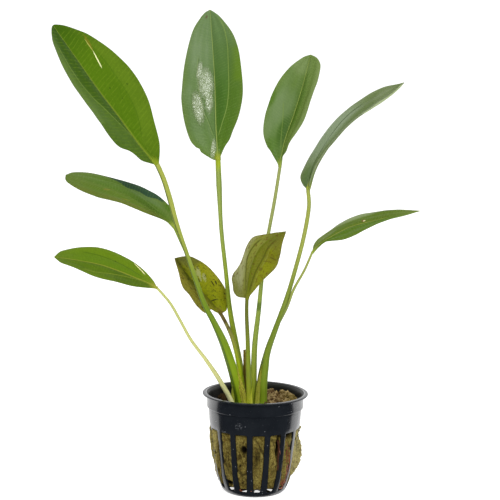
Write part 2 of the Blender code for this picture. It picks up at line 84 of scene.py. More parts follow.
# Each blade: its midrib from neck to tip, the way its upper side faces at neck and tip, how many degrees each
# half rises towards the upper side at neck and tip (one value where they are the same), and its two margins as
# they would lie pressed flat: pairs of how far out from the midrib and how far along it
BLADES = {
    "upper_left": dict(
        midrib=((-50.6, -19, 169.8), (-59, -21, 179.5), (-68.5, -24, 192.6), (-77.8, -27.5, 204.9), (-86.9, -31, 218),
                (-98.8, -37, 235.3)),
        faces=(0.42, 0.85, 0.2), rises=25,
        left=((4.7, 2), (9, 5.6), (9.9, 9.6), (11.8, 12.5), (16.4, 15.4), (18.7, 19.8), (19.5, 30.5), (19, 38.7),
              (17.8, 48.1), (16.9, 56.5), (15.2, 65.5), (11.4, 74.4), (7.5, 78.8), (2.9, 82.4)),
        right=((2.4, 1), (5.7, 4.3), (8.7, 8.5), (12.8, 18.8), (16.3, 28.1), (18.2, 37.5), (18.4, 46.1), (17.3, 53),
               (15.4, 60.5), (11.7, 70), (9, 74.4), (4.5, 80.2), (1.3, 82.9))),
    "top": dict(
        midrib=((-21.4, 15, 171.2), (-22.8, 17, 189.3), (-23.6, 20, 207.6), (-24.6, 23.5, 222), (-27.1, 30, 249.9)),
        faces=(-0.05, -1, 0.2), rises=((12, 12), (20, 20)),
        left=((2.7, 0.3), (5.4, 2), (8.6, 4.4), (9.6, 6.4), (11.2, 7.2), (14.1, 11.3), (16.5, 20.1), (17.9, 30.2),
              (17.6, 36.8), (15.9, 48.9), (13.1, 60.3), (9.8, 69.5), (5.7, 75.7), (2.8, 78.9)),
        right=((1.6, 1.6), (4.4, 6.4), (7.4, 10), (9.5, 14.3), (12, 19.3), (13.9, 25), (15.2, 31), (15.8, 37),
               (15.6, 46), (14.9, 55), (13, 62.5), (10.3, 68.3), (5.6, 75.3), (2.7, 78.3))),
    "upper_right": dict(
        midrib=((11.1, 18, 167.9), (13.4, 20.5, 181), (18.1, 24, 195.2), (22.6, 27.5, 210.5), (26.8, 32, 227.4)),
        faces=((-0.65, -0.75, 0.1), (-0.25, -0.95, 0.2)), rises=((30, 25), (32, 25)),
        left=((1.6, 1.6), (3.9, 4.5), (6.6, 7.8), (8.7, 9.7), (11.4, 13.5), (13.1, 17.3), (14.4, 23.8), (14.6, 31),
              (14.4, 36.7), (12.7, 45.4), (9.2, 53.4), (5.2, 58.9), (2.8, 61.4)),
        right=((0.9, 2.7), (2.2, 5.6), (5.3, 7.4), (6.2, 9), (6.5, 12), (7.8, 15.2), (10, 21.6), (11, 28),
               (10.8, 37.3), (10.6, 42.9), (10.2, 48.4), (8.7, 56), (6.7, 59.4), (3.9, 61.7))),
    "arching_right": dict(
        midrib=((25.3, 1, 157), (29.6, 2, 169.5), (37.5, 2, 182.2), (46.5, 1, 192.2), (56.2, -1, 199.9),
                (71.8, -7, 212)),
        faces=((-0.75, -0.35, 0.5), (-0.5, -0.4, 0.8)), rises=((5, 5), (33, 12)),
        left=((2.6, 0.6), (6.1, 1.8), (10.2, 4.7), (11.4, 8), (11.6, 16), (11.1, 24.9), (11.1, 32.1), (12.1, 39.3),
              (12.8, 45.6), (12.7, 50.8), (11.5, 56.8), (7.9, 64.5), (2.2, 72)),
        right=((2.5, 2.5), (6.6, 6.5), (9.8, 14), (11, 22.5), (12, 36), (11.5, 47), (10.2, 55), (8.4, 63), (6.4, 69),
               (3.2, 73.2))),
    "low_right": dict(
        midrib=((27.5, -9, 125.7), (33.6, -10.5, 132), (46, -13.5, 139.4), (60.6, -17, 143.9), (79.8, -21, 148.8)),
        faces=((-0.5, -0.4, 0.8), (-0.3, -0.4, 0.9)), rises=((0, 10), (0, 18)),
        left=((2, 1.2), (4.2, 2.6), (5.6, 4.8), (6.2, 7.3), (6.9, 13.2), (7.5, 19), (7.8, 29.2), (7.9, 34.3),
              (7.4, 39.7), (6.1, 44.8), (2.4, 54)),
        right=((1.2, 3), (1.8, 9), (3.9, 12.2), (9.4, 19), (11.3, 26.9), (9.1, 34.8), (6.4, 39.8), (3.9, 44.8),
               (2.3, 49.8), (1.2, 55))),
    "mid_left": dict(
        midrib=((-43.2, 8, 135.7), (-49.6, 9.5, 141.3), (-62.4, 12.5, 148.6), (-77.9, 15.5, 155.4),
                (-102, 20, 161.8)),
        faces=(0.3, -0.6, 0.8), rises=((20, -7), (15, -7)),
        left=((1, 2.6), (2.6, 7.4), (5.4, 14.2), (8.7, 25.2), (10, 36), (9.9, 45.4), (8.7, 54.5), (5.8, 61.6),
              (3.4, 64.8)),
        right=((2.4, 2.2), (4.6, 5.5), (7.2, 9), (8.8, 12.2), (10.6, 18.4), (11.1, 24.7), (10.7, 30.6), (9.1, 37),
               (8.2, 44.3), (8.5, 51.7), (8.1, 58.3), (4.9, 64.2))),
    "low_left": dict(
        midrib=((-49.9, -21.5, 108.3), (-58.2, -24, 112.5), (-77, -32, 120.7), (-97.9, -41, 125.3)),
        faces=(0.2, -0.75, 0.8), rises=5,
        left=((1.2, 1.2), (3.6, 6.3), (6.7, 16.5), (8.9, 27.4), (8.2, 35.8), (6.1, 43.5), (4.2, 49.8), (2.9, 52.4)),
        right=((1.2, 1), (3, 3.2), (6, 8), (8.5, 13.2), (9.9, 18.4), (10.4, 23.8), (10.1, 30.7), (9.2, 36.8),
               (7.4, 44.2), (4.9, 50.2), (3.2, 52.5))),
    "old_left": dict(
        midrib=((-18.7, 12, 90.1), (-24.3, 14, 96.4), (-33, 17.5, 105.2), (-44.1, 21, 118.4)),
        faces=(0.45, -0.75, 0.5), rises=25,
        left=((2, 1.4), (3.5, 2.8), (4.3, 4.4), (5.8, 4.9), (9, 4.2), (11.5, 4.4), (12.5, 5.8), (12.7, 8),
              (13.1, 10.6), (13.1, 13.8), (12.6, 17.4), (11.9, 21.4), (9.5, 25.6), (6.9, 29.6), (4.5, 33.6),
              (1.9, 37)),
        right=((2, -0.2), (3.6, -0.2), (5.4, 1.5), (7.2, 4.3), (9.3, 7), (10.7, 9.6), (11.5, 13.2), (11.9, 16.5),
               (11.9, 19.8), (11.7, 23), (11.2, 26), (10.3, 29.2), (9.1, 32), (7.7, 34.6), (5.7, 36.4), (2.9, 38))),
    "old_centre": dict(
        midrib=((-5.1, -14, 102.3), (-4.6, -15.5, 107.2), (-3.3, -17.5, 117.6), (0.2, -18, 126.8), (5, -17, 132.3),
                (14, -14, 137)),
        faces=((0.5, 0.8, 0.3), (0.2, 0.9, 0.3)), rises=((25, 15), (25, 15)),
        left=((3.2, -0.8), (7.3, -2.4), (10.3, -2.6), (12.7, -1.4), (13.5, 1.6), (13.3, 6.6), (11.8, 10.2),
              (9.3, 13.8), (8.1, 16.4), (7.5, 20.8), (7.2, 25.6), (6.6, 29.6), (4.3, 32.8), (2.7, 35.8), (1.9, 38.4),
              (1.1, 40.6)),
        right=((1.3, 1.8), (2.2, 3.5), (3.5, 5.6), (4.8, 7.8), (7, 11.5), (8.6, 14.2), (10.1, 17.5), (11.3, 20.6),
               (11.8, 24), (11.8, 28.4), (12.2, 36), (9.9, 37.9), (6.9, 39.4), (4, 41), (1.8, 42.6))),
}
BLADE_ROWS, HALF_COLUMNS = 110, 30
# the share of a half's columns that the rib takes
RIB_COLUMNS = 0.2
# waves of each half's margin: how many, and where they start
WAVE_HEIGHT, LEFT_WAVES, RIGHT_WAVES = 0.5, (2.2, 0.3), (1.8, 1.1)
PILLOW = 0.35
SHEET = 0.2
# degrees between two faces up to which plant pieces look smooth
PLANT_ANGLE = 60


def rgb(colour):
    """A colour as picked from a picture, turned into the linear values that a shader takes."""
    return tuple((c / 255 / 12.92 if c <= 10 else ((c / 255 + 0.055) / 1.055) ** 2.4) for c in colour)


def unit(vectors):
    return vectors / np.linalg.norm(vectors, axis=-1, keepdims=True)


def smoothstep(value, low, high):
    t = np.clip((value - low) / (high - low), 0.0, 1.0)
    return t * t * (3 - 2 * t)


def curve_through(points, steps=16):
    """A smooth curve through the points, as a fine chain, with the length run at each of its points.
    A point may carry more numbers after its place, which follow the curve and don't count as length."""
    knots = np.array(points, float)
    knots = np.vstack((2 * knots[0] - knots[1], knots, 2 * knots[-1] - knots[-2]))
    chain = []
    for a, b, c, d in zip(knots, knots[1:], knots[2:], knots[3:]):
        for t in np.arange(steps) / steps:
            chain.append(0.5 * (2 * b + (c - a) * t + (2 * a - 5 * b + 4 * c - d) * t ** 2
                                + (3 * b - a - 3 * c + d) * t ** 3))
    chain = np.array(chain + [knots[-2]])
    run = np.concatenate(([0.0], np.cumsum(np.linalg.norm(np.diff(chain[:, :3], axis=0), axis=1))))
    return chain, run


def length_of(curve):
    return curve[1][-1]


def on_curve(curve, length):
    """Points of a curve at given lengths, which runs straight on past its ends."""
    chain, run = curve
    inside = np.clip(length, 0, run[-1])
    points = np.stack([np.interp(inside, run, chain[:, axis]) for axis in range(chain.shape[1])], -1)
    before = np.minimum(length, 0)[..., None] * unit(chain[1] - chain[0])
    after = np.maximum(length - run[-1], 0)[..., None] * unit(chain[-1] - chain[-2])
    return points + before + after


def follow(route, up):
    """The points of a route at shares of its length, with the ways to its side and to its front there."""
    curve = curve_through(route)
    length = up * length_of(curve)
    along = unit(on_curve(curve, length + 0.3) - on_curve(curve, length - 0.3))
    side = unit(np.cross(along, (0.0, -1.0, 0.0)))
    return on_curve(curve, length), side, np.cross(side, along)


def two_faces(around):
    """Half of a sheet's columns make its front and half its back: which it is, and how far across, from -1 to 1."""
    front = around <= 0.5
    return front, np.where(front, 4 * around - 1, 3 - 4 * around)


def lumps(points, size, seed=0.0):
    """Smooth noise between about -1 and 1 at each of the points, with lumps of a given size."""
    return np.array([noise.noise(Vector((p[0] / size + seed, p[1] / size - seed, p[2] / size + 2 * seed)))
                     for p in points])


def deselect():
    bpy.ops.object.select_all(action="DESELECT")


def pick(*pieces):
    deselect()
    for piece in pieces:
        piece.select_set(True)
    bpy.context.view_layer.objects.active = pieces[0]


def corners_of(piece):
    corners = np.empty(len(piece.data.vertices) * 3)
    piece.data.vertices.foreach_get("co", corners)
    return corners.reshape(-1, 3)


def flat_grid(name, columns, rows):
    """A flat sheet of squares, with how far each of its corners is across and up it, from 0 to 1."""
    deselect()
    bpy.ops.mesh.primitive_grid_add(x_subdivisions=columns, y_subdivisions=rows, size=1)
    piece = bpy.context.object
    piece.name = piece.data.name = name
    corners = corners_of(piece)
    return piece, corners[:, 0] + 0.5, corners[:, 1] + 0.5


def shape(piece, points):
    """Puts the corners of a piece at points given in millimetres."""
    piece.data.vertices.foreach_set("co", (np.asarray(points, float) * MM).ravel())
    piece.data.update()


def edit(piece):
    pick(piece)
    bpy.ops.object.mode_set(mode="EDIT")
    bpy.ops.mesh.select_mode(type="VERT")
    bpy.ops.mesh.select_all(action="SELECT")


def leave_edit():
    bpy.ops.object.mode_set(mode="OBJECT")


def smooth(piece, degrees):
    pick(piece)
    bpy.ops.object.shade_smooth_by_angle(angle=math.radians(degrees))


def seal(piece, degrees=PLANT_ANGLE):
    """Joins the edges that meet, closes open ends, turns the faces outwards and smooths them."""
    edit(piece)
    bpy.ops.mesh.remove_doubles(threshold=0.004 * MM)
    bpy.ops.mesh.fill_holes(sides=0)
    bpy.ops.mesh.normals_make_consistent(inside=False)
    leave_edit()
    smooth(piece, degrees)


def note(piece, name, values):
    """Keeps a number or a triple at each corner of a piece, for its material to read."""
    values = np.asarray(values, float)
    kind, field = ("FLOAT_VECTOR", "vector") if values.ndim == 2 else ("FLOAT", "value")
    attribute = piece.data.attributes.new(name, kind, "POINT")
    attribute.data.foreach_set(field, values.ravel().astype(np.float32))


def finish_piece(piece, material, slot, *nodes):
    piece.data.materials.clear()
    piece.data.materials.append(material)
    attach(piece, "root")
    if nodes:
        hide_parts(*nodes)


class Paint:
    """Builds the nodes of a material or of the world, step by step. A value is a plain number or colour, or the
    output of an earlier step."""

    def __init__(self, name, kind="materials", shader="Principled BSDF"):
        self.owner = getattr(bpy.data, kind).new(name)
        self.owner.use_nodes = True
        self.tree = self.owner.node_tree
        self.shader = self.tree.nodes[shader].inputs
        self.base = None

    def put(self, socket, value):
        if isinstance(value, bpy.types.NodeSocket):
            self.tree.links.new(value, socket)
        elif socket.type == "RGBA":
            socket.default_value = (*value, 1.0)
        else:
            socket.default_value = value

    def fill(self, sockets, names, *values):
        for name, value in zip(names, values):
            self.put(sockets[name], value)

    def node(self, kind, **settings):
        made = self.tree.nodes.new(kind)
        for name, value in settings.items():
            setattr(made, name, value)
        return made

    def math(self, operation, *values):
        made = self.node("ShaderNodeMath", operation=operation)
        self.fill(made.inputs, range(len(values)), *values)
        return made.outputs[0]

    def chain(self, operation, first, *others):
        for other in others:
            first = self.math(operation, first, other)
        return first

    def times(self, *values):
        return self.chain("MULTIPLY", *values)

    def plus(self, *values):
        return self.chain("ADD", *values)

    def minus(self, *values):
        return self.chain("SUBTRACT", *values)

    def most(self, *values):
        return self.chain("MAXIMUM", *values)

    def mix(self, share, a, b):
        made = self.node("ShaderNodeMix", data_type="RGBA")
        self.fill(made.inputs, (0, 6, 7), share, a, b)
        return made.outputs[2]

    def lay(self, share, colour):
        """Lays a colour, as picked from a picture, over the base by a share."""
        self.base = self.mix(share, self.base, rgb(colour))

    def tint(self, share, strength, colour):
        """Lays the base itself, mixed with a linear colour, over the base by a share."""
        self.base = self.mix(share, self.base, self.mix(strength, self.base, colour))

    def step(self, value, low, high, end=1.0, start=0.0):
        """Goes smoothly from start to end as the value goes from low to high, which may lie below low."""
        made = self.node("ShaderNodeMapRange", interpolation_type="SMOOTHSTEP")
        self.fill(made.inputs, range(5), value, low, high, start, end)
        return made.outputs[0]

    def curve(self, value, points):
        made = self.node("ShaderNodeFloatCurve")
        self.put(made.inputs[1], value)
        line = made.mapping.curves[0]
        line.points[0].location, line.points[-1].location = points[0], points[-1]
        for x, y in points[1:-1]:
            line.points.new(x, y)
        made.mapping.use_clip = False
        made.mapping.extend = "HORIZONTAL"
        made.mapping.update()
        return made.outputs[0]

    def place(self, scale=(1.0, 1.0, 1.0), turn=(0.0, 0.0, 0.0)):
        """Object coordinates in millimetres, scaled and turned."""
        made = self.node("ShaderNodeMapping")
        coordinates = self.node("ShaderNodeTexCoord").outputs["Object"]
        self.fill(made.inputs, ("Vector", "Rotation", "Scale"), coordinates, turn, [s / MM for s in scale])
        return made.outputs[0]

    def noise(self, vector, scale, detail=2.0, rough=0.5, warp=0.0):
        made = self.node("ShaderNodeTexNoise")
        names = ("Vector", "Scale", "Detail", "Roughness", "Distortion")
        self.fill(made.inputs, names, vector, scale, detail, rough, warp)
        return made.outputs[0]

    def cells(self, vector, scale):
        made = self.node("ShaderNodeTexVoronoi")
        self.fill(made.inputs, ("Vector", "Scale"), vector, scale)
        return made.outputs[0]

    def attribute(self, name, output="Vector"):
        return self.node("ShaderNodeAttribute", attribute_name=name).outputs[output]

    def split(self, vector):
        made = self.node("ShaderNodeSeparateXYZ")
        self.put(made.inputs[0], vector)
        return tuple(made.outputs)

    def join(self, x, y, z=0.0):
        made = self.node("ShaderNodeCombineXYZ")
        self.fill(made.inputs, range(3), x, y, z)
        return made.outputs[0]

    def bump(self, height, depth, strength, normal=None):
        """Relief of a given depth in millimetres."""
        made = self.node("ShaderNodeBump")
        self.fill(made.inputs, ("Strength", "Distance", "Height"), strength, depth * MM, height)
        if normal:
            self.put(made.inputs["Normal"], normal)
        return made.outputs[0]

    def done(self, roughness, normal, specular):
        self.fill(self.shader, ("Base Color", "Roughness", "Specular IOR Level"), self.base, roughness, specular)
        if normal:
            self.put(self.shader["Normal"], normal)
        return self.owner


# Leaves

def blade_frame(blade, curve, length, out):
    """The directions out to each side and up from a blade at a length along its midrib, and how much it rises."""
    share = np.clip(length / length_of(curve), 0, 1)[:, None]
    along = unit(on_curve(curve, length + 0.5) - on_curve(curve, length - 0.5))
    neck_face, tip_face = np.broadcast_to(blade["faces"], (2, 3))
    face = unit(neck_face * (1 - share) + tip_face * share)
    across = unit(np.cross(along, face))
    backwards = across[:, 0] * along[:, 2] - across[:, 2] * along[:, 0] < 0
    across[backwards] *= -1
    upper = unit(face - along * (along * face).sum(1)[:, None])
    rises = np.broadcast_to(blade["rises"], (2, 2))[(out > 0).astype(int)]
    rise = np.radians(rises[:, 0] * (1 - share[:, 0]) + rises[:, 1] * share[:, 0])
    return across, upper, rise


def build_blade(name, blade, neck):
    """A closed leaf blade: a thin sheet between the midrib and its two margins, with a rib that swells
    into the stalk."""
    piece, around, up = flat_grid("leaf_" + name, 4 * HALF_COLUMNS, BLADE_ROWS)
    midrib = curve_through(blade["midrib"])
    total = length_of(midrib)
    part = (1 - np.cos(np.pi * up)) / 2
    upper_side, x = two_faces(around)
    sign = np.where(x < 0, -1.0, 1.0)

    # each margin's place, and how far out from the midrib and along it that is when pressed flat
    margin = np.empty((len(x), 5))
    for side, key in ((-1.0, "left"), (1.0, "right")):
        flat = np.array(((neck, 0.0), *blade[key], (0.0, total)))
        across, upper, rise = blade_frame(blade, midrib, flat[:, 1], np.full(len(flat), side))
        reach = side * across * np.cos(rise)[:, None] + upper * np.sin(rise)[:, None]
        edge = curve_through(np.column_stack((on_curve(midrib, flat[:, 1]) + flat[:, :1] * reach, flat)))
        mine = sign == side
        margin[mine] = on_curve(edge, part[mine] * length_of(edge))
    widths, shifts = np.maximum(margin[:, 3], 0.02), margin[:, 4]

    # the rib is a cord that thins towards the tip, and the columns beyond it share the rest of the half
    cord = neck * (1 - part) ** 0.8 * 0.8 + 0.2 * neck * (1 - part) ** 8 + 0.12
    core = np.minimum(cord, widths * 0.98)
    reach = np.abs(x)
    distance = np.where(reach < RIB_COLUMNS, reach / RIB_COLUMNS * core,
                        core + (widths - core) * (reach - RIB_COLUMNS) / (1 - RIB_COLUMNS))
    share = distance / widths
    along = (1 - share) * part * total + share * shifts
    start = on_curve(midrib, part * total)
    flat = start + (margin[:, :3] - start) * share[:, None]
    across, upper, rise = blade_frame(blade, midrib, along, sign)
    slope = (rise * smoothstep(distance, 0.0, 1.5))[:, None]
    normal = upper * np.cos(slope) - sign[:, None] * across * np.sin(slope)

    # waves of the margins, pillows between the long veins and small lumps
    t = np.clip(along / total, 0, 1)
    body = np.sin(np.pi * part) ** 0.6
    count, phase = np.where(sign[:, None] < 0, LEFT_WAVES, RIGHT_WAVES).T
    relief = WAVE_HEIGHT * np.sin(2 * np.pi * (count * t + phase)) * share ** 2 * body
    inner = np.sin(np.pi * np.clip(share / 0.5, 0, 1)) ** 2
    outer = np.sin(np.pi * np.clip((share - 0.5) / 0.5, 0, 1)) ** 2
    relief += PILLOW * (inner + 0.8 * outer) * body
    relief += 0.12 * lumps(flat, 6.0) * body

    # thickness: the sheet, the cord, which shows more on the lower side, and a groove along it on the upper side
    sheet = SHEET * np.sqrt(np.clip(1 - share ** 6, 0, 1)) + 0.02
    cord_height = np.sqrt(np.clip(cord ** 2 - distance ** 2, 0, None))
    at_neck = 1 - smoothstep(along, 0.0, 9.0)
    above = np.maximum(sheet, cord_height * (0.12 + 0.88 * at_neck))
    below = np.maximum(sheet, cord_height * (0.75 + 0.25 * at_neck))
    offset = np.where(upper_side, above, -below)
    offset[share > 0.9999] = 0.0
    groove = 0.1 * np.exp(-(distance / 0.5) ** 2) * smoothstep(along, 6.0, 14.0) * (1 - t)
    offset -= np.where(upper_side, groove, 0.0)
    shape(piece, flat + normal * (relief + offset)[:, None])
    note(piece, "blade", np.stack([sign * share, along, widths], 1))
    note(piece, "upper", upper_side)
    seal(piece)
    return piece


# out from the midrib, in millimetres, that a line on a blade can reach
FARTHEST = 20.0


def leaf_material(name, look, length):
    """Waxy leaf: two tones on each half, parted by the half's long side vein, close cross veins between the
    ribs, the leaf's own marks, and on some leaves painted sheen, painted shade and a painted highlight. Places on it
    are how far out from the midrib and along it, in millimetres."""
    p = Paint(name)
    side, along, width = p.split(p.attribute("blade"))
    upper = p.step(p.attribute("upper", "Fac"), 0.4, 0.6)
    on_right = p.step(side, -0.02, 0.02)
    on_half = {"left": p.minus(1.0, on_right), "right": on_right}
    share = p.math("ABSOLUTE", side)
    out, across = p.times(share, width), p.times(side, width)
    t = p.math("DIVIDE", along, length)
    place = p.place()
    soft = p.noise(place, 0.09, 3.0)
    fine = p.noise(place, 1.4, 3.0, 0.6)

    def beyond(points):
        """How far a place lies outside a line that runs along the blade."""
        line = p.curve(t, [(a / length, b / FARTHEST) for a, b in points])
        return p.minus(out, p.times(line, FARTHEST))

    def spot(middle, size, lean, ragged=1.2):
        """How far a place lies from a ragged patch, which ends where this is 1."""
        dx, dy = p.minus(across, middle[0]), p.minus(along, middle[1])
        cos, sin = math.cos(math.radians(lean)), math.sin(math.radians(lean))
        u = p.plus(p.times(dx, cos / size[0]), p.times(dy, -sin / size[0]))
        v = p.plus(p.times(dx, sin / size[1]), p.times(dy, cos / size[1]))
        return p.plus(p.times(u, u), p.times(v, v), p.times(p.minus(fine, 0.5), ragged))

    halves = []
    for half in on_half:
        near, far = map(rgb, look[half])
        halves.append(p.mix(p.step(beyond(look[half + "_parting"]), -1.6, 1.6), near, far))
    p.base = p.mix(on_right, *halves)
    p.lay(p.step(t, look["tip_from"], 1.0, look["tip_share"]), look["tip"])
    p.lay(p.step(t, 0.22, 0.0, 0.6), look["base"])
    p.lay(p.step(share, 0.8, 1.0, look["margin_share"]), look["margin"])
    p.lay(p.step(soft, 0.4, 0.7, 0.3), look["patch"])
    p.tint(p.step(fine, 0.35, 0.75, look["mottle"]), 0.6, (0.01, 0.02, 0.003))
    # soft patches: the pale grey-green ones are painted sheen, the darker ones deepen the leaf's tone
    for colour, middle, size, lean, strength in look["sheen_and_tone_clouds"]:
        p.lay(p.step(spot(middle, size, lean, 0.4), 1.3, 0.0, strength), colour)

    # areas beyond a line: the leaf's tone on some leaves, painted sheen, painted light and painted shade on others
    for half, points, (start, end), softness, colour, strength in look["areas"]:
        area = p.times(p.step(beyond(points), -softness, softness, strength), on_half[half],
                       p.step(along, start - 1.5, start + 1.5), p.step(along, end + 1.5, end - 1.5))
        p.lay(area, colour)

    # cross veins leave the midrib at a slant towards the tip
    gap = look["veinlet_gap"]
    slant = p.minus(along, p.times(out, 0.3))
    wobble = p.times(p.noise(place, 0.13, 2.0), gap * look["wander"])
    wave = p.math("SINE", p.times(p.plus(slant, wobble), 2 * math.pi / gap))
    veinlet = p.times(p.step(wave, 0.65, 1.0), p.step(p.noise(place, 0.4, 2.0), 0.35, 0.6))
    p.lay(p.times(veinlet, look["veinlet_share"]), look["veinlet"])

    # long veins, and on one leaf a painted shadow line beside the midrib
    ridges = 0.0
    for half, points, thick, colour, strength in look["veins"]:
        start, end = points[0][0], points[-1][0]
        line = p.times(p.step(p.math("ABSOLUTE", beyond(points)), thick * 1.3, thick * 0.4), on_half[half],
                       p.step(along, start - 0.5, start + 2.5), p.step(along, end, end - 3.0))
        ridges = p.most(ridges, line)
        p.lay(p.times(line, strength), colour)
    colour, wide, narrow, strength = look["rib"]
    rib = p.step(p.math("DIVIDE", out, p.step(t, 0.0, 1.0, narrow, wide)), 1.1, 0.5)
    p.lay(p.times(rib, strength), colour)
    p.lay(p.times(p.step(along, 6.0, 0.0), p.step(out, 2.6, 1.0)), look["neck"])

    # the leaf's marks: spots and scars, and on one leaf a painted highlight along the margin
    for colour, middle, size, lean, strength, *ragged in look["marks"]:
        p.lay(p.step(spot(middle, size, lean, *ragged), 1.0, 0.6, strength), colour)
    gloss, specular, rippled = look["gloss"], look["specular"], 0.25
    rough = p.step(fine, 0.3, 0.8, gloss + 0.1, gloss)
    if look["gleams"]:
        gleams = [p.step(spot(*gleam), 1.3, 0.3, look["shine"]) for gleam in look["gleams"]]
        gleam = p.times(p.most(*gleams), upper)
        # painted highlight: a pale colour laid where the gleams are
        p.lay(p.times(gleam, look["painted_highlight"]), (214, 216, 186))
        rough = p.plus(rough, p.times(gleam, 0.24 - gloss))
        specular = p.plus(specular, p.times(gleam, 0.85))
        rippled = p.plus(p.times(gleam, 1.6), rippled)
    if "specks" in look:
        colour, scale, low, strength = look["specks"]
        spots = p.noise(p.join(across, p.times(along, 0.45)), scale, 3.0, 0.65)
        p.lay(p.step(spots, low, low + 0.07, strength), colour)
    p.lay(p.step(upper, 1.0, 0.0, look["under_share"]), look["under"])

    height = p.plus(p.times(veinlet, 0.3), ridges, p.times(rib, 0.8))
    normal = p.bump(p.times(height, p.step(upper, 0.0, 1.0, -1.0, 1.0)), 0.06, 0.9)
    ripples = p.noise(p.join(slant, p.times(out, 0.6), side), 0.7, 3.0, 0.6)
    return p.done(rough, p.bump(p.times(ripples, rippled), 0.3, 1.0, normal), specular)


# Lines on a blade are pairs of how far along it and how far out from the midrib
MIDDLE = ((0, 0), (12, 2), (30, 6), (60, 6), (90, 2))
# The look that the leaves share: tones nearer and farther than each half's parting, further tones, the rib's tone,
# width at the neck and at the tip and strength, and the parts that a leaf may add
GREEN = dict(
    left=((84, 112, 48), (90, 116, 52)), right=((78, 112, 34), (86, 118, 40)), left_parting=MIDDLE,
    right_parting=MIDDLE, tip=(96, 118, 60), base=(92, 120, 44), margin=(104, 124, 50), patch=(74, 106, 36),
    veinlet=(124, 148, 82), rib=((146, 166, 84), 0.55, 0.18, 0.7), neck=(140, 156, 60), under=(120, 140, 80),
    tip_from=0.7, tip_share=0.7, margin_share=0.4, under_share=0.5, veinlet_share=0.22, veinlet_gap=1.5, wander=1.4,
    mottle=0.24, gloss=0.46, specular=0.14, shine=1, painted_highlight=0.2, sheen_and_tone_clouds=(), areas=(), veins=(), marks=(), gleams=())
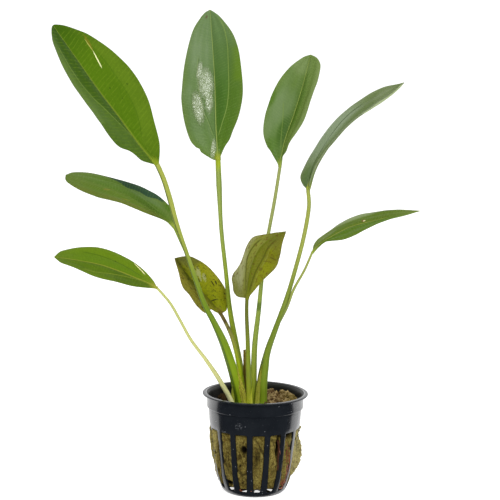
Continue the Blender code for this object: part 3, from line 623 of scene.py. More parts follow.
# Clouds (soft patches; the pale grey-green ones are painted sheen) and marks: colour, middle (across and along), half
# width and half length, lean in degrees, strength and how ragged. Areas: half, line, from where to where along,
# softness,
# colour, strength. Veins: half, line, half thickness, colour, strength. Gleams: middle, size, lean, how ragged.
# Specks: colour, scale, threshold, strength.
LOOKS = {
    "upper_left": dict(
        # its left half is painted darker near the midrib, partly as painted shade of the fold; the pale area along
        # the left margin is painted sheen
        GREEN, left=((60, 90, 16), (78, 106, 34)), right=((78, 110, 12), (88, 116, 22)), tip=(54, 86, 10),
        base=(74, 102, 12), margin=(82, 106, 26), patch=(68, 100, 10), veinlet=(106, 132, 32), veinlet_share=0.4,
        tip_share=0.85, wander=0.7,
        left_parting=((0, 0), (11.8, 0.2), (18.4, 1.3), (25.6, 3.9), (39, 7.6), (44.8, 9.1), (55.4, 10.3),
                      (67.2, 9.3), (83, 3)),
        right_parting=((0, 0), (12, 1), (20.7, 5.7), (33.9, 9.6), (43.2, 10.5), (59.5, 10.1), (69, 8.1), (83, 0)),
        rib=((118, 134, 40), 0.65, 0.18, 0.65), neck=(126, 142, 34), under=(80, 112, 20), under_share=0,
        specular=0.03, veinlet_gap=2.1,
        areas=(("left", ((0, 9), (15, 14), (30, 14.5), (60, 12.5), (83, 4)), (30, 84), 2.2, (108, 130, 72), 0.4),),
        veins=(("left",
                ((9, 0), (11.8, 0.3), (18.4, 1.3), (25.6, 3.9), (39, 7.6), (44.8, 9.1), (55.4, 10.3), (67.2, 9.3),
                 (74, 8)), 0.3, (118, 142, 58), 0.75),
               ("right", ((14, 1.4), (20.7, 5.7), (33.9, 9.6), (43.2, 10.5), (59.5, 10.1), (69, 8.1), (78, 4)), 0.3,
                (70, 102, 14), 0.65)),
        marks=(((124, 108, 28), (9.2, 68), (0.55, 4.4), 3, 0.5, 4.5),
               ((196, 188, 100), (8.5, 66), (0.22, 3.8), 0, 0.6, 2.5),
               ((232, 232, 176), (7.9, 58.3), (0.3, 5), 7.5, 0.95), ((54, 80, 12), (4.8, 43.6), (0.5, 0.6), 0, 0.7),
               ((54, 80, 12), (12.7, 40.3), (0.4, 0.6), 0, 0.7), ((58, 84, 14), (6.6, 36), (0.4, 0.5), 0, 0.6))),
    "top": dict(
        # the grey-green tip tone and the pale cloud near the tip are painted sheen
        GREEN, left=((84, 114, 52), (90, 118, 58)), right=((72, 108, 34), (78, 110, 30)), tip=(98, 124, 74),
        base=(92, 122, 34), margin=(98, 118, 40), patch=(80, 110, 42), gloss=0.38, specular=0.2,
        tip_from=0.35, tip_share=0.9,
        gleams=(((-4.8, 40), (4.4, 9.5), 0, 1.6), ((-3.4, 31), (2.4, 7), 0, 1.6), ((-9.2, 27.5), (3.2, 9), -8, 1.8),
                ((-7.8, 47), (1.6, 5.5), 10, 1.4), ((-2.2, 5.8), (1.5, 5.6), 10, 1)),
        sheen_and_tone_clouds=(((106, 128, 84), (-9, 58), (8, 14), 0, 0.5), ((62, 96, 30), (3, 30), (3, 14), 0, 0.5)),
        left_parting=((0, 0), (13.1, 1.3), (18.4, 3.1), (30.4, 7.1), (44.9, 8.4), (53.1, 7.7), (80, 0)),
        right_parting=((0, 0), (13, 1), (18, 3.4), (30.8, 7.2), (46.2, 8.3), (65.1, 8.1), (80, 0)),
        rib=((144, 160, 78), 0.42, 0.16, 0.7), neck=(146, 156, 44),
        # the first left vein is a painted shadow beside the midrib
        veins=(("left", ((6, 0.7), (20, 0.55), (50, 0.45)), 0.22, (48, 78, 28), 0.55),
               ("left", ((11, 0.2), (13.1, 1.3), (18.4, 3.1), (30.4, 7.1), (44.9, 8.4), (56, 7.4)), 0.22,
                (64, 94, 34), 0.6),
               ("left", ((12, 0.9), (13.1, 1.8), (18.4, 3.6), (30.4, 7.6), (44.9, 8.9), (56, 7.9)), 0.2,
                (134, 154, 90), 0.5),
               ("right", ((12, 0.8), (18, 3.4), (30.8, 7.2), (46.2, 8.3), (65.1, 8.1), (76, 3.5)), 0.28,
                (126, 148, 70), 0.7)),
        areas=(("right", ((20, 8), (45, 11), (60, 11), (80, 6)), (40, 58), 2.4, (92, 122, 20), 0.6),),
        marks=(((84, 66, 40), (-2.2, 76.4), (0.5, 1.1), 25, 0.85),)),
    "upper_right": dict(
        GREEN, left=((76, 106, 30), (92, 120, 58)), right=((80, 110, 32), (100, 122, 52)), tip=(104, 128, 62),
        base=(82, 114, 32), margin=(106, 126, 52), tip_from=0.35, tip_share=0.8,
        # the pale grey-green clouds are painted sheen
        sheen_and_tone_clouds=(((118, 138, 94), (-7.6, 31), (6.5, 13), 8, 0.45), ((118, 138, 92), (-11.5, 18), (3.2, 6), -15, 0.5),
                ((74, 108, 20), (-14.5, 34), (2.8, 6.5), 0, 0.9), ((56, 90, 14), (-2.6, 19), (3.2, 9.5), 0, 0.8),
                ((74, 108, 26), (-6.5, 11), (3, 4.5), 0, 0.6), ((118, 136, 84), (-3, 56), (6, 6), 0, 0.5)),
        left_parting=((0, 0), (11.6, 1.5), (27.1, 5.5), (34.9, 7.9), (63, 0)),
        right_parting=((0, 0), (12, 1), (25, 3.5), (45, 3.5), (63, 0)),
        rib=((146, 162, 78), 0.45, 0.16, 0.75),
        veins=(("left", ((9, 0.9), (11.6, 1.5), (27.1, 5.5), (34.9, 7.9)), 0.25, (120, 142, 64), 0.5),),
        areas=(("right", ((0, 4.5), (20, 7.5), (45, 8), (63, 6)), (8, 60), 1.6, (122, 140, 84), 0.6),)),
    "arching_right": dict(
        GREEN, left=((94, 112, 62), (100, 118, 66)), right=((100, 116, 70), (96, 114, 56)), tip=(98, 114, 60),
        base=(78, 104, 46), margin=(112, 130, 62), margin_share=0.5, patch=(96, 114, 64),
        veinlet_share=0.1, rib=((96, 114, 62), 0.3, 0.1, 0.2), neck=(150, 158, 56), under=(108, 126, 56),
        # the pale clouds are painted sheen; the pale area near the tip is painted light on the twisted tip
        sheen_and_tone_clouds=(((132, 148, 118), (-7.5, 31), (7, 21), 0, 0.85), ((120, 134, 94), (-3, 64), (4, 8), 0, 0.5),
                ((80, 106, 52), (-4, 7), (5, 8), 0, 0.7)),
        veins=(("left", ((4, 0.6), (11.4, 2.5), (19.2, 3), (27.8, 4.2), (36.8, 6), (44.8, 6.9), (52.4, 7.2)), 0.35,
                (56, 76, 30), 0.85),),
        areas=(("right", ((50, 9), (54.4, 6), (59, 4.2), (64.2, 5.7), (69, 4.7), (72.4, 0.7)), (50, 75), 1.3,
                (158, 172, 124), 0.9),)),
    "low_right": dict(
        GREEN, left=((92, 114, 38), (98, 116, 50)), right=((82, 112, 20), (86, 114, 24)), tip=(120, 136, 74),
        base=(108, 124, 44), margin=(112, 128, 56), patch=(88, 112, 30), specular=0.06,
        # the pale clouds are painted sheen
        sheen_and_tone_clouds=(((142, 156, 112), (-6.6, 24), (2.4, 15), 0, 0.85), ((116, 132, 74), (-3.4, 10), (2.4, 7), 0, 0.6)),
        rib=((150, 152, 62), 0.4, 0.15, 0.8),
        marks=(((110, 80, 40), (-1.5, 30.9), (0.8, 1), 0, 0.9), ((230, 222, 168), (-1.3, 31.4), (0.4, 0.7), 0, 1))),
    "mid_left": dict(
        GREEN, left=((88, 112, 30), (96, 108, 34)), right=((84, 112, 36), (92, 114, 50)), tip=(94, 112, 46),
        base=(88, 112, 28), margin=(98, 112, 40), patch=(80, 108, 30), specular=0.06,
        rib=((96, 118, 36), 0.35, 0.12, 0.4),
        veins=(("right", ((11.2, 1.1), (18.2, 2), (25.4, 4), (31.8, 4.9), (40.2, 4.7), (48.4, 4), (56.8, 4)), 0.2,
                (120, 142, 74), 0.4),),
        # the dark band along the upper margin is painted shade, and the pale first cloud is painted sheen
        areas=(("right",
                ((8, 8.6), (13, 7.6), (17.4, 7.6), (20, 6.6), (22.6, 6), (26, 6.4), (30, 6), (34, 5.2), (38, 6.2),
                 (44.2, 7.4), (52, 9.4)), (14, 48), 0.3, (38, 68, 46), 0.95),),
        sheen_and_tone_clouds=(((94, 120, 72), (4.8, 22), (2.4, 12), 0, 0.45), ((66, 104, 8), (7, 8.5), (3, 5), 0, 0.7),
                ((72, 102, 22), (1, 18), (2.6, 12), 0, 0.4)),
        marks=(((138, 120, 42), (-2.3, 41.7), (0.8, 2), -20, 0.4, 2),
               ((138, 120, 42), (-4.4, 30), (0.5, 2.6), -20, 0.35, 2),
               ((98, 92, 30), (-6, 26), (0.5, 5), 0, 0.4, 2))),
    "low_left": dict(
        GREEN, left=((80, 106, 20), (84, 108, 28)), right=((92, 122, 20), (98, 126, 18)), tip=(94, 116, 38),
        base=(112, 128, 26), margin=(106, 124, 24), patch=(94, 122, 14), veinlet=(116, 138, 34),
        specular=0.06, rib=((136, 142, 48), 0.55, 0.2, 0.8), neck=(150, 152, 58),
        left_parting=((0, 0), (9.6, 0.3), (18, 2.2), (26.2, 4), (34.6, 5.7), (55, 0)),
        right_parting=((0, 0), (10, 2.2), (21.4, 4.5), (31.8, 5.2), (41.8, 5.2), (55, 0)),
        veins=(("left", ((8, 0.1), (18, 2.2), (26.2, 4), (34.6, 5.7), (42, 5)), 0.25, (130, 142, 48), 0.5),
               ("right", ((8, 1.6), (10, 2.2), (21.4, 4.5), (31.8, 5.2), (41.8, 5.2)), 0.3, (68, 94, 12), 0.65)),
        areas=(("left", ((0, 0.6), (55, 1.4)), (4, 24), 0.5, (66, 90, 20), 0.45),),
        # the long cream mark near the neck is a painted highlight along the rolled margin
        marks=(((240, 232, 172), (6, 11), (0.34, 4.2), 33, 0.95), ((60, 76, 12), (5, 24), (0.4, 0.5), 0, 0.8))),
    "old_left": dict(
        GREEN, left=((98, 100, 22), (130, 124, 40)), right=((134, 140, 8), (142, 144, 16)), tip=(108, 104, 40),
        base=(140, 148, 12), margin=(134, 124, 52), patch=(112, 112, 16), veinlet=(138, 136, 50), veinlet_share=0.15,
        mottle=0.5,
        left_parting=((0, 2.5), (20, 4), (39, 2)), right_parting=((0, 3), (14, 6), (28, 6), (39, 2)),
        rib=((84, 86, 20), 0.5, 0.3, 0.6), neck=(112, 98, 36), under=(128, 124, 56), specular=0.05,
        gleams=(((5.4, 25.4), (1.3, 3.2), 24, 3), ((6.2, 21.2), (1.1, 2.6), 24, 3), ((4.4, 22.6), (0.7, 2.4), 24, 3)),
        # its gleams carry a painted highlight
        shine=0.25, painted_highlight=0.6,
        sheen_and_tone_clouds=(((64, 72, 16), (-1.2, 22), (1.8, 9), 0, 0.55), ((84, 88, 26), (2.2, 28), (2.6, 5), 0, 0.4),
                ((92, 92, 40), (2, 35.5), (6, 3), 0, 0.3)),
        specks=((52, 48, 12), 1, 0.57, 0.85),
        areas=(("right", ((0, 12), (24, 10), (30, 3.5), (39, 1)), (29, 38), 1.2, (84, 88, 36), 0.7),),
        marks=(((52, 50, 14), (7.5, 15.8), (0.4, 1.6), 10, 0.9), ((52, 50, 14), (9, 14.6), (0.5, 1.4), 20, 0.9),
               ((52, 50, 14), (1.7, 8.2), (2.2, 0.45), 20, 0.9), ((60, 56, 16), (5.5, 32.8), (0.7, 1.1), 0, 0.8, 2),
               ((66, 56, 18), (-6, 27), (1.2, 0.7), 0, 0.6, 2.5), ((66, 56, 18), (-6.4, 20), (0.7, 1.4), 0, 0.6, 2.5),
               ((52, 50, 14), (2.8, 22), (0.7, 1.6), 0, 0.75, 2.5))),
    "old_centre": dict(
        # the pale far left tone and the pale first cloud are painted sheen
        GREEN, left=((124, 128, 50), (140, 142, 90)), right=((104, 108, 24), (120, 124, 14)), tip=(100, 98, 34),
        base=(122, 128, 38), margin=(112, 106, 48), margin_share=0.5, patch=(112, 112, 38), mottle=0.45,
        veinlet=(138, 138, 70), veinlet_share=0.12, rib=((92, 100, 14), 1, 0.5, 0.85), neck=(108, 112, 30),
        under=(128, 128, 54), under_share=0, specular=0.05,
        sheen_and_tone_clouds=(((156, 158, 112), (-7.2, 14), (3.6, 13), 0, 0.65), ((100, 94, 28), (7.6, 27), (3.6, 5), 0, 0.5),
                ((92, 94, 30), (1, 36), (6, 4), 0, 0.5)),
        left_parting=((0, 3), (10, 5.5), (26, 5.5), (44, 3)), right_parting=((0, 1.6), (13, 3.4), (27, 5), (44, 2)),
        veins=(("left", ((3, 1), (4.5, 1.6), (15.5, 3.8), (21.5, 4.4), (27, 3.7), (33, 2.6)), 0.4, (80, 84, 26),
                0.85), ("left", ((0, 2.4), (4, 6.5), (12, 8.6), (18, 8)), 0.35, (104, 108, 42), 0.45),
               ("right", ((3, 0.7), (6.3, 0.9), (13, 2.1), (27.4, 3.7), (38.7, 1.5)), 0.45, (78, 82, 16), 0.85),
               ("right", ((5, 1.6), (13, 3.4), (27.4, 5.2), (36, 3.6)), 0.4, (140, 142, 66), 0.25)),
        specks=((84, 62, 20), 0.9, 0.57, 0.7),
        marks=(((76, 70, 20), (8.2, 27.5), (0.6, 1.8), 80, 0.8), ((88, 78, 24), (4.6, 17.5), (0.8, 1.3), 30, 0.7),
               ((86, 78, 22), (5.6, 23), (0.5, 1.4), 60, 0.6))),
}


# Stalks, sheaths, dead stalk and roots

def build_rod(name, route, radii, rows, columns=20, ribs=0.05, flat=0.0, rough=0.0):
    """A closed, slightly ridged stem along a route."""
    piece, around, up = flat_grid(name, columns, rows)
    centre, side, front = follow(route, up)
    radius = np.interp(up, np.linspace(0, 1, len(radii)), radii)
    angle = 2 * np.pi * around
    radius = radius * (1 + ribs * np.cos(5 * angle + 3 * up) + 0.4 * ribs * np.cos(9 * angle))
    wide, deep = radius * np.cos(angle), radius * (1 - flat) * np.sin(angle)
    points = centre + wide[:, None] * side + deep[:, None] * front
    if rough:
        points = points + rough * lumps(points, 1.2)[:, None] * unit(points - centre)
    shape(piece, points)
    note(piece, "stem", np.stack([np.cos(angle), up, np.sin(angle)], 1))
    seal(piece)
    return piece


def stalk_material(name, foot, middle, top, shade, marks=()):
    """A stalk of three tones from foot to blade, with one face darkened as painted shade and fine streaks along it.
    """
    p = Paint(name)
    x, up, z = p.split(p.attribute("stem"))
    p.base = p.mix(p.step(up, 0.0, 0.4), rgb(foot), rgb(middle))
    p.lay(p.step(up, 0.4, 0.85), top)
    streak = p.noise(p.join(x, p.times(up, 2.0), z), 3.2, 3.0, 0.6)
    side, strength, start = shade
    # painted shade down one face of the stalk
    face = p.step(p.plus(p.times(x, side), p.times(streak, 0.3)), start, start + 0.3)
    p.tint(p.times(face, strength), 0.75, (0.03, 0.08, 0.004))
    p.tint(p.step(streak, 0.4, 0.7, 0.25), 0.4, (0.4, 0.44, 0.16))
    p.tint(p.step(streak, 0.5, 0.3, 0.25), 0.5, (0.04, 0.08, 0.01))
    for colour, centre, reach, strength in marks:
        far = p.plus(p.math("ABSOLUTE", p.minus(up, centre)), p.times(p.minus(streak, 0.5), reach))
        p.lay(p.step(far, reach, 0.4 * reach, strength), colour)
    fleck = p.noise(p.place(), 1.1, 2.0)
    p.base = p.mix(p.step(fleck, 0.68, 0.76, 0.3), p.base, (0.12, 0.09, 0.02))
    return p.done(p.step(streak, 0.3, 0.8, 0.55, 0.4), p.bump(streak, 0.12, 0.6), 0.07)


# Each stalk's tones at foot, middle and top, the foot's tone painted lighter as painted light where the pot shades
# it, its face with painted shade (+1 right, -1 left), how dark it is and where it starts, and its marks: colour,
# where along the stalk, reach and strength
STALK_LOOKS = {
    "upper_left": ((152, 180, 18), (104, 130, 28), (152, 160, 70), (-1, 0.9, 0.5)),
    "top": ((170, 180, 30), (136, 154, 40), (140, 156, 76), (1, 0.4, 0.3), (((150, 166, 34), 1, 0.07, 0.9),)),
    "upper_right": ((154, 166, 34), (138, 156, 68), (150, 158, 92), (1, 0.3, 0.3),
                    # a painted shadow across the stalk
                    (((84, 108, 46), 0.435, 0.022, 0.8),)),
    "arching_right": ((134, 162, 30), (110, 128, 42), (156, 164, 78), (1, 0.3, 0.4)),
    "low_right": ((156, 164, 42), (126, 142, 62), (150, 158, 80), (1, 0.3, 0.3)),
    "mid_left": ((128, 154, 26), (112, 136, 38), (120, 140, 44), (1, 0.3, 0.3)),
    "low_left": ((255, 253, 196), (204, 204, 134), (184, 188, 114), (-1, 0.3, 0.5)),
    "old_left": ((200, 210, 30), (168, 186, 22), (128, 122, 62), (1, 0.3, 0.3),
                 (((92, 74, 38), 0.97, 0.13, 0.75), ((70, 56, 30), 0.9, 0.02, 0.6),
                  ((70, 56, 30), 0.83, 0.015, 0.5))),
    "old_centre": ((228, 236, 66), (132, 148, 42), (96, 102, 34), (1, 0.3, 0.3)),
}

# The dry feet of old leaves: route, half widths along it, green and brown tone, how brown, and a seed for their lumps
SHEATHS = {
    "dry": (((-5, -5.2, 38), (-5.4, -5.4, 45), (-7.2, -5.4, 54), (-8.8, -5, 60), (-9.8, -4.8, 65)),
            (0.7, 1.2, 1.8, 1.2, 0.35), (186, 194, 46), (118, 78, 36), 0.02, 1),
    "left": (((-11, -3.6, 37), (-11.4, -3.6, 46), (-11.8, -3.2, 52), (-11.4, -2.8, 57)),
             (1.5, 1.5, 1, 0.6, 0.2), (156, 170, 42), (96, 84, 24), -0.2, 4),
    "middle": (((-2.2, -6.6, 37), (-2.4, -6.6, 44), (-2.2, -6.4, 50), (-1.6, -6, 55)),
               (1.6, 1.4, 1, 0.6, 0.15), (220, 230, 66), (150, 136, 44), -0.25, 6),
    "right": (((1, -3.2, 37), (1, -3.2, 46), (1.7, -3, 56), (3.4, -2.6, 66)),
              (1.6, 1.5, 1.2, 0.8, 0.3), (168, 176, 46), (108, 74, 32), -0.03, 8),
}


def sheath_material(name, green, brown, dry):
    """Streaked green that turns brown in dashes, the more so the farther up."""
    p = Paint(name)
    x, up, z = p.split(p.attribute("stem"))
    streak = p.noise(p.join(p.times(x, 1.4), p.times(up, 3.0), z), 3.0, 3.0, 0.6)
    dashes = p.noise(p.join(p.times(x, 5.0), p.times(up, 14.0), z), 1.3, 3.0, 0.7)
    p.base = p.mix(p.step(streak, 0.35, 0.65), rgb(green), p.mix(0.5, rgb(green), rgb((190, 186, 96))))
    share = p.step(up, 0.1, 0.6, dry + 0.06, dry - 0.06)
    p.lay(p.step(p.plus(dashes, share), 0.56, 0.64, 0.85), brown)
    return p.done(0.6, p.bump(p.plus(streak, dashes), 0.25, 0.8), 0.15)


def build_sheath(name, route, widths, green, brown, dry, seed):
    """A thin, ragged strip that lies against the stalks, facing the front."""
    piece, around, up = flat_grid("sheath_" + name, 48, 70)
    centre, side, front = follow(route, up)
    face, x = two_faces(around)
    width = np.interp(up, np.linspace(0, 1, len(widths)), widths)
    torn = lumps(np.stack([up * 60, np.sign(x) * 5, 0 * up], 1), 1.3, seed) * smoothstep(np.abs(x), 0.5, 1.0)
    points = centre + (x * width * (1 + 0.28 * torn))[:, None] * side
    arch = 0.55 * width * (1 - x ** 2) + 0.15 * np.cos(9 * x) + 0.15 * lumps(points, 1.5, seed)
    thick = np.where(face, 0.13, -0.13) * np.sqrt(np.clip(1 - x ** 8, 0, 1))
    shape(piece, points + (arch + thick)[:, None] * front)
    note(piece, "stem", np.stack([x, up, 0 * x], 1))
    seal(piece)
    finish_piece(piece, sheath_material("sheath " + name, green, brown, dry), "stalk_old_left")


def build_leaves():
    for name, (route, radii) in STALKS.items():
        midrib = BLADES[name]["midrib"]
        blade = build_blade(name, BLADES[name], radii[-1])
        leaf = leaf_material("leaf " + name, LOOKS[name], length_of(curve_through(midrib)))
        finish_piece(blade, leaf, "leaf_" + name, "leaf_" + name)
        end, after = np.array(midrib[:2], float)
        inside = end + 0.6 * unit(after - end)
        stalk = build_rod("stalk_" + name, (*route, end, inside), (*radii, radii[-1] * 0.9), 150)
        finish_piece(stalk, stalk_material("stalk " + name, *STALK_LOOKS[name]), "stalk_" + name, "stalk_" + name)


def dead_material(name, dark, light):
    p = Paint(name)
    x, up, z = p.split(p.attribute("stem"))
    streak = p.noise(p.join(x, p.times(up, 3.0), z), 3.0, 4.0, 0.65)
    p.base = p.mix(p.step(streak, 0.3, 0.7), rgb(dark), rgb(light))
    return p.done(0.7, p.bump(streak, 0.25, 0.8), 0.08)


# Roots in the slots, and finer ones beside them: places as turn round the pot in degrees and height
ROOTS = (("root_1", ((47, 22.5), (50, 19), (53, 14), (54, 9), (51, 5.5)), 0.55),
         ("root_2", ((52.5, 23.5), (58, 18.5), (60, 12), (59, 7), (55, 4)), 0.6),
         ("root_3", ((31.4, 31), (33.5, 26.5), (34, 21), (35.5, 14.8)), 0.6))
# Finer roots beside them
ROOTLETS = (((34, 26.8), (36.5, 23), (38, 20)), ((45, 30), (49, 25), (48, 19), (52, 13)),
            ((56, 16), (54, 10), (57, 5), (52, 3.6)), ((-24, 4.2), (-21.5, 3.4), (-19, 3.8)),
            ((-7, 3.3), (-4, 4), (-1, 3.2)), ((50, 12), (47, 7), (43, 4.2)), ((46, 4), (52, 3.3), (58, 4.2)),
            ((48, 24), (51, 18), (50.5, 12), (49, 6)), ((57, 22), (55, 15), (56.5, 9), (52, 5)),
            ((53, 26), (54.5, 20), (52, 12)))


def root_route(path):
    turn, height = np.array(path, float).T
    out = body_radius(height) - 0.35
    return np.stack([out * np.sin(np.radians(turn)), -out * np.cos(np.radians(turn)), height], 1)


def build_small_parts():
    stump_route = ((-3.2, 4.6, 36.9), (-4.4, 3.6, 46.6), (-5.4, 3.1, 54.6), (-6.0, 3.0, 73.0))
    stump = build_rod("cut_stump_dry", stump_route, (0.9, 0.9, 0.85, 0.6), 60, 16, 0.12, 0.2, 0.15)
    finish_piece(stump, dead_material("dry stalk", (80, 68, 16), (136, 118, 42)), "cut_stump", "cut_stump")
    red = dead_material("root", (72, 34, 20), (138, 82, 56))
    pink = dead_material("fine root", (104, 60, 42), (170, 118, 92))
    shaded = dead_material("shaded root", (38, 22, 13), (84, 48, 32))
    for name, path, thick in ROOTS:
        root = build_rod(name + "_red", root_route(path), (thick, thick * 0.9, thick * 0.7), 50, 12, 0.08, 0.0, 0.15)
        finish_piece(root, shaded if name == "root_3" else red, name, name)
    for number, path in enumerate(ROOTLETS):
        root = build_rod("rootlet_%d" % (number + 1), root_route(path), (0.34, 0.36, 0.24), 36, 8, 0.0, 0.0, 0.2)
        finish_piece(root, red if number % 2 else pink, "root_3")


# Pot

def body_radius(height):
    radii, heights = zip(*BODY)
    return np.interp(height, heights, radii)


def turn_profile(name, columns, profile, closed):
    """Turns a profile of radii and heights round the upright axis: a ring is extruded from step to step."""
    deselect()
    radius, height = profile[0]
    bpy.ops.mesh.primitive_circle_add(vertices=columns, radius=radius * MM)
    piece = bpy.context.object
    piece.name = piece.data.name = name
    edit(piece)
    bpy.ops.transform.translate(value=(0.0, 0.0, height * MM))
    for next_radius, next_height in profile[1:]:
        rise = (0.0, 0.0, (next_height - height) * MM)
        bpy.ops.mesh.extrude_edges_move(TRANSFORM_OT_translate={"value": rise})
        bpy.ops.transform.resize(value=(next_radius / radius, next_radius / radius, 1.0))
        radius, height = next_radius, next_height
    if closed:
        bpy.ops.mesh.select_all(action="DESELECT")
        bpy.ops.mesh.select_non_manifold(extend=False)
        bpy.ops.mesh.bridge_edge_loops()
    bpy.ops.mesh.select_all(action="SELECT")
    bpy.ops.mesh.normals_make_consistent(inside=False)
    leave_edit()
    return piece


def finish_edges(piece, wall=0.0):
    """Gives a skin its wall, inwards, and rounds its sharp edges."""
    if wall:
        shell = piece.modifiers.new("Wall", "SOLIDIFY")
        shell.thickness = wall * MM
        shell.offset = -1.0
    edge = piece.modifiers.new("Rounded edges", "BEVEL")
    edge.width = ROUNDING * MM
    edge.segments = 2
    edge.limit_method = "ANGLE"
    edge.angle_limit = math.radians(50)
    pick(piece)
    for modifier in list(piece.modifiers):
        bpy.ops.object.modifier_apply(modifier=modifier.name)


def rib_width(height):
    """The ribs widen a little towards the foot."""
    return np.interp(height, (2.0, 14.0, 36.0), (3.5, 2.95, 2.85))


def build_wall():
    """The slotted wall: upright ribs between slots with rounded corners."""
    per_slot = 12
    columns = per_slot * SLOTS
    heights = [0.0, 0.2, 0.8, 2.0, SLOT_BOTTOM, SLOT_BOTTOM + CORNER, 5.3, 7.5, 9.7, 14.0, 18.7, 23.0, 28.0, 31.0,
               SLOT_TOP - CORNER, SLOT_TOP, 36.4, 39.0, 42.0, 44.6]
    piece = turn_profile("pot_wall", columns, [(float(body_radius(h)), h) for h in heights], closed=False)
    x, y, height = corners_of(piece).T / MM
    column = np.rint(np.arctan2(x, -y) / (2 * np.pi) * columns).astype(int) % columns
    row = np.abs(height[:, None] - np.array(heights)).argmin(1)
    radius = np.hypot(x, y)

    # the ribs keep their width while the wall tapers, so each column moves a little round the pot
    period = 2 * np.pi / SLOTS
    place = column % per_slot
    rib = rib_width(height)
    opening = period * radius - rib
    offsets = np.select([place == 0, place == 1, place == 2, place == 3, place == 4, place == 11],
                        [-rib / 2, -rib / 6, rib / 6, rib / 2, rib / 2 + CORNER, rib / 2 + opening - CORNER],
                        rib / 2 + CORNER + (opening - 2 * CORNER) * (place - 4) / 7)
    # the corners of each slot are drawn in a little
    nudge = 0.35 * CORNER
    for at_row, way in ((heights.index(SLOT_BOTTOM), 1.0), (heights.index(SLOT_TOP), -1.0)):
        left, right = (row == at_row) & (place == 3), (row == at_row) & (place == 0)
        offsets[left] += nudge
        offsets[right] -= nudge
        height = height + np.where(left | right, way * nudge, 0.0)
    turn = math.radians(SLOT_TURN) + period * (column // per_slot + 0.5) + offsets / radius
    shape(piece, np.stack([radius * np.sin(turn), -radius * np.cos(turn), height], 1))

    edit(piece)
    bpy.ops.mesh.select_mode(type="FACE")
    bpy.ops.mesh.select_all(action="DESELECT")
    leave_edit()
    for face in piece.data.polygons:
        x, y, z = face.center / MM
        turn = math.atan2(x, -y) - math.radians(SLOT_TURN)
        to_slot = abs((turn + period / 2) % period - period / 2) * math.hypot(x, y)
        face.select = SLOT_BOTTOM < z < SLOT_TOP and to_slot < (period * math.hypot(x, y) - rib_width(z)) / 2
    bpy.ops.object.mode_set(mode="EDIT")
    bpy.ops.mesh.delete(type="FACE")
    leave_edit()
    if sum(f.area * (f.normal.x * f.center.x + f.normal.y * f.center.y) for f in piece.data.polygons) < 0:
        edit(piece)
        bpy.ops.mesh.flip_normals()
        leave_edit()
    finish_edges(piece, WALL)
    return piece


def build_lip():
    """The collar and its lip, with fine mould rings down the inside."""
    profile = [(24.3, 43.8), (24.9, 43.9), (25.1, 44.05), (25.2, 44.3), (25.2, 44.8), (25.3, 50.0), (25.4, 50.3),
               (25.7, 50.45), (27.1, 50.5), (27.38, 50.62), (27.5, 50.9), (27.42, 51.18), (27.15, 51.34),
               (26.7, 51.4), (26.2, 51.38), (26.0, 51.3), (25.8, 51.36), (25.6, 51.4), (25.4, 51.36), (25.2, 51.15),
               (24.9, 50.7), (24.5, 50.2), (24.3, 49.6)]
    for ring in (49.2, 48.3, 47.4, 46.5, 45.6):
        profile += [(24.3, ring), (24.2, ring - 0.15), (24.2, ring - 0.3), (24.3, ring - 0.45)]
    profile += [(24.25, 44.6)]
    return turn_profile("pot_lip", 192, profile, closed=True)


def build_floor():
    """The floor: a hub, eight spokes and a ring."""
    spokes, spoke_size, spoke_middle = 8, (10.4, 2.6, FLOOR), 9.3
    deselect()
    bpy.ops.mesh.primitive_cylinder_add(vertices=64, radius=4.5 * MM, depth=FLOOR * MM)
    hub = bpy.context.object
    edit(hub)
    bpy.ops.transform.translate(value=(0.0, 0.0, FLOOR / 2 * MM))
    leave_edit()
    bpy.ops.mesh.primitive_cube_add(size=MM)
    spoke = bpy.context.object
    edit(spoke)
    bpy.ops.transform.resize(value=spoke_size)
    bpy.ops.transform.translate(value=(spoke_middle * MM, 0.0, FLOOR / 2 * MM))
    turn = math.radians(180 / SLOTS - SLOT_TURN)
    bpy.ops.transform.rotate(value=turn, orient_axis="Z", center_override=(0, 0, 0))
    bpy.ops.mesh.spin(steps=spokes - 1, dupli=True, angle=2 * math.pi * (spokes - 1) / spokes, center=(0, 0, 0),
                      axis=(0, 0, 1))
    leave_edit()
    ring = turn_profile("pot_ring", 96, [(14.0, 0.0), (16.0, 0.0), (16.0, FLOOR), (14.0, FLOOR)], closed=True)
    pick(hub, spoke, ring)
    bpy.ops.object.join()
    finish_edges(hub)
    return hub


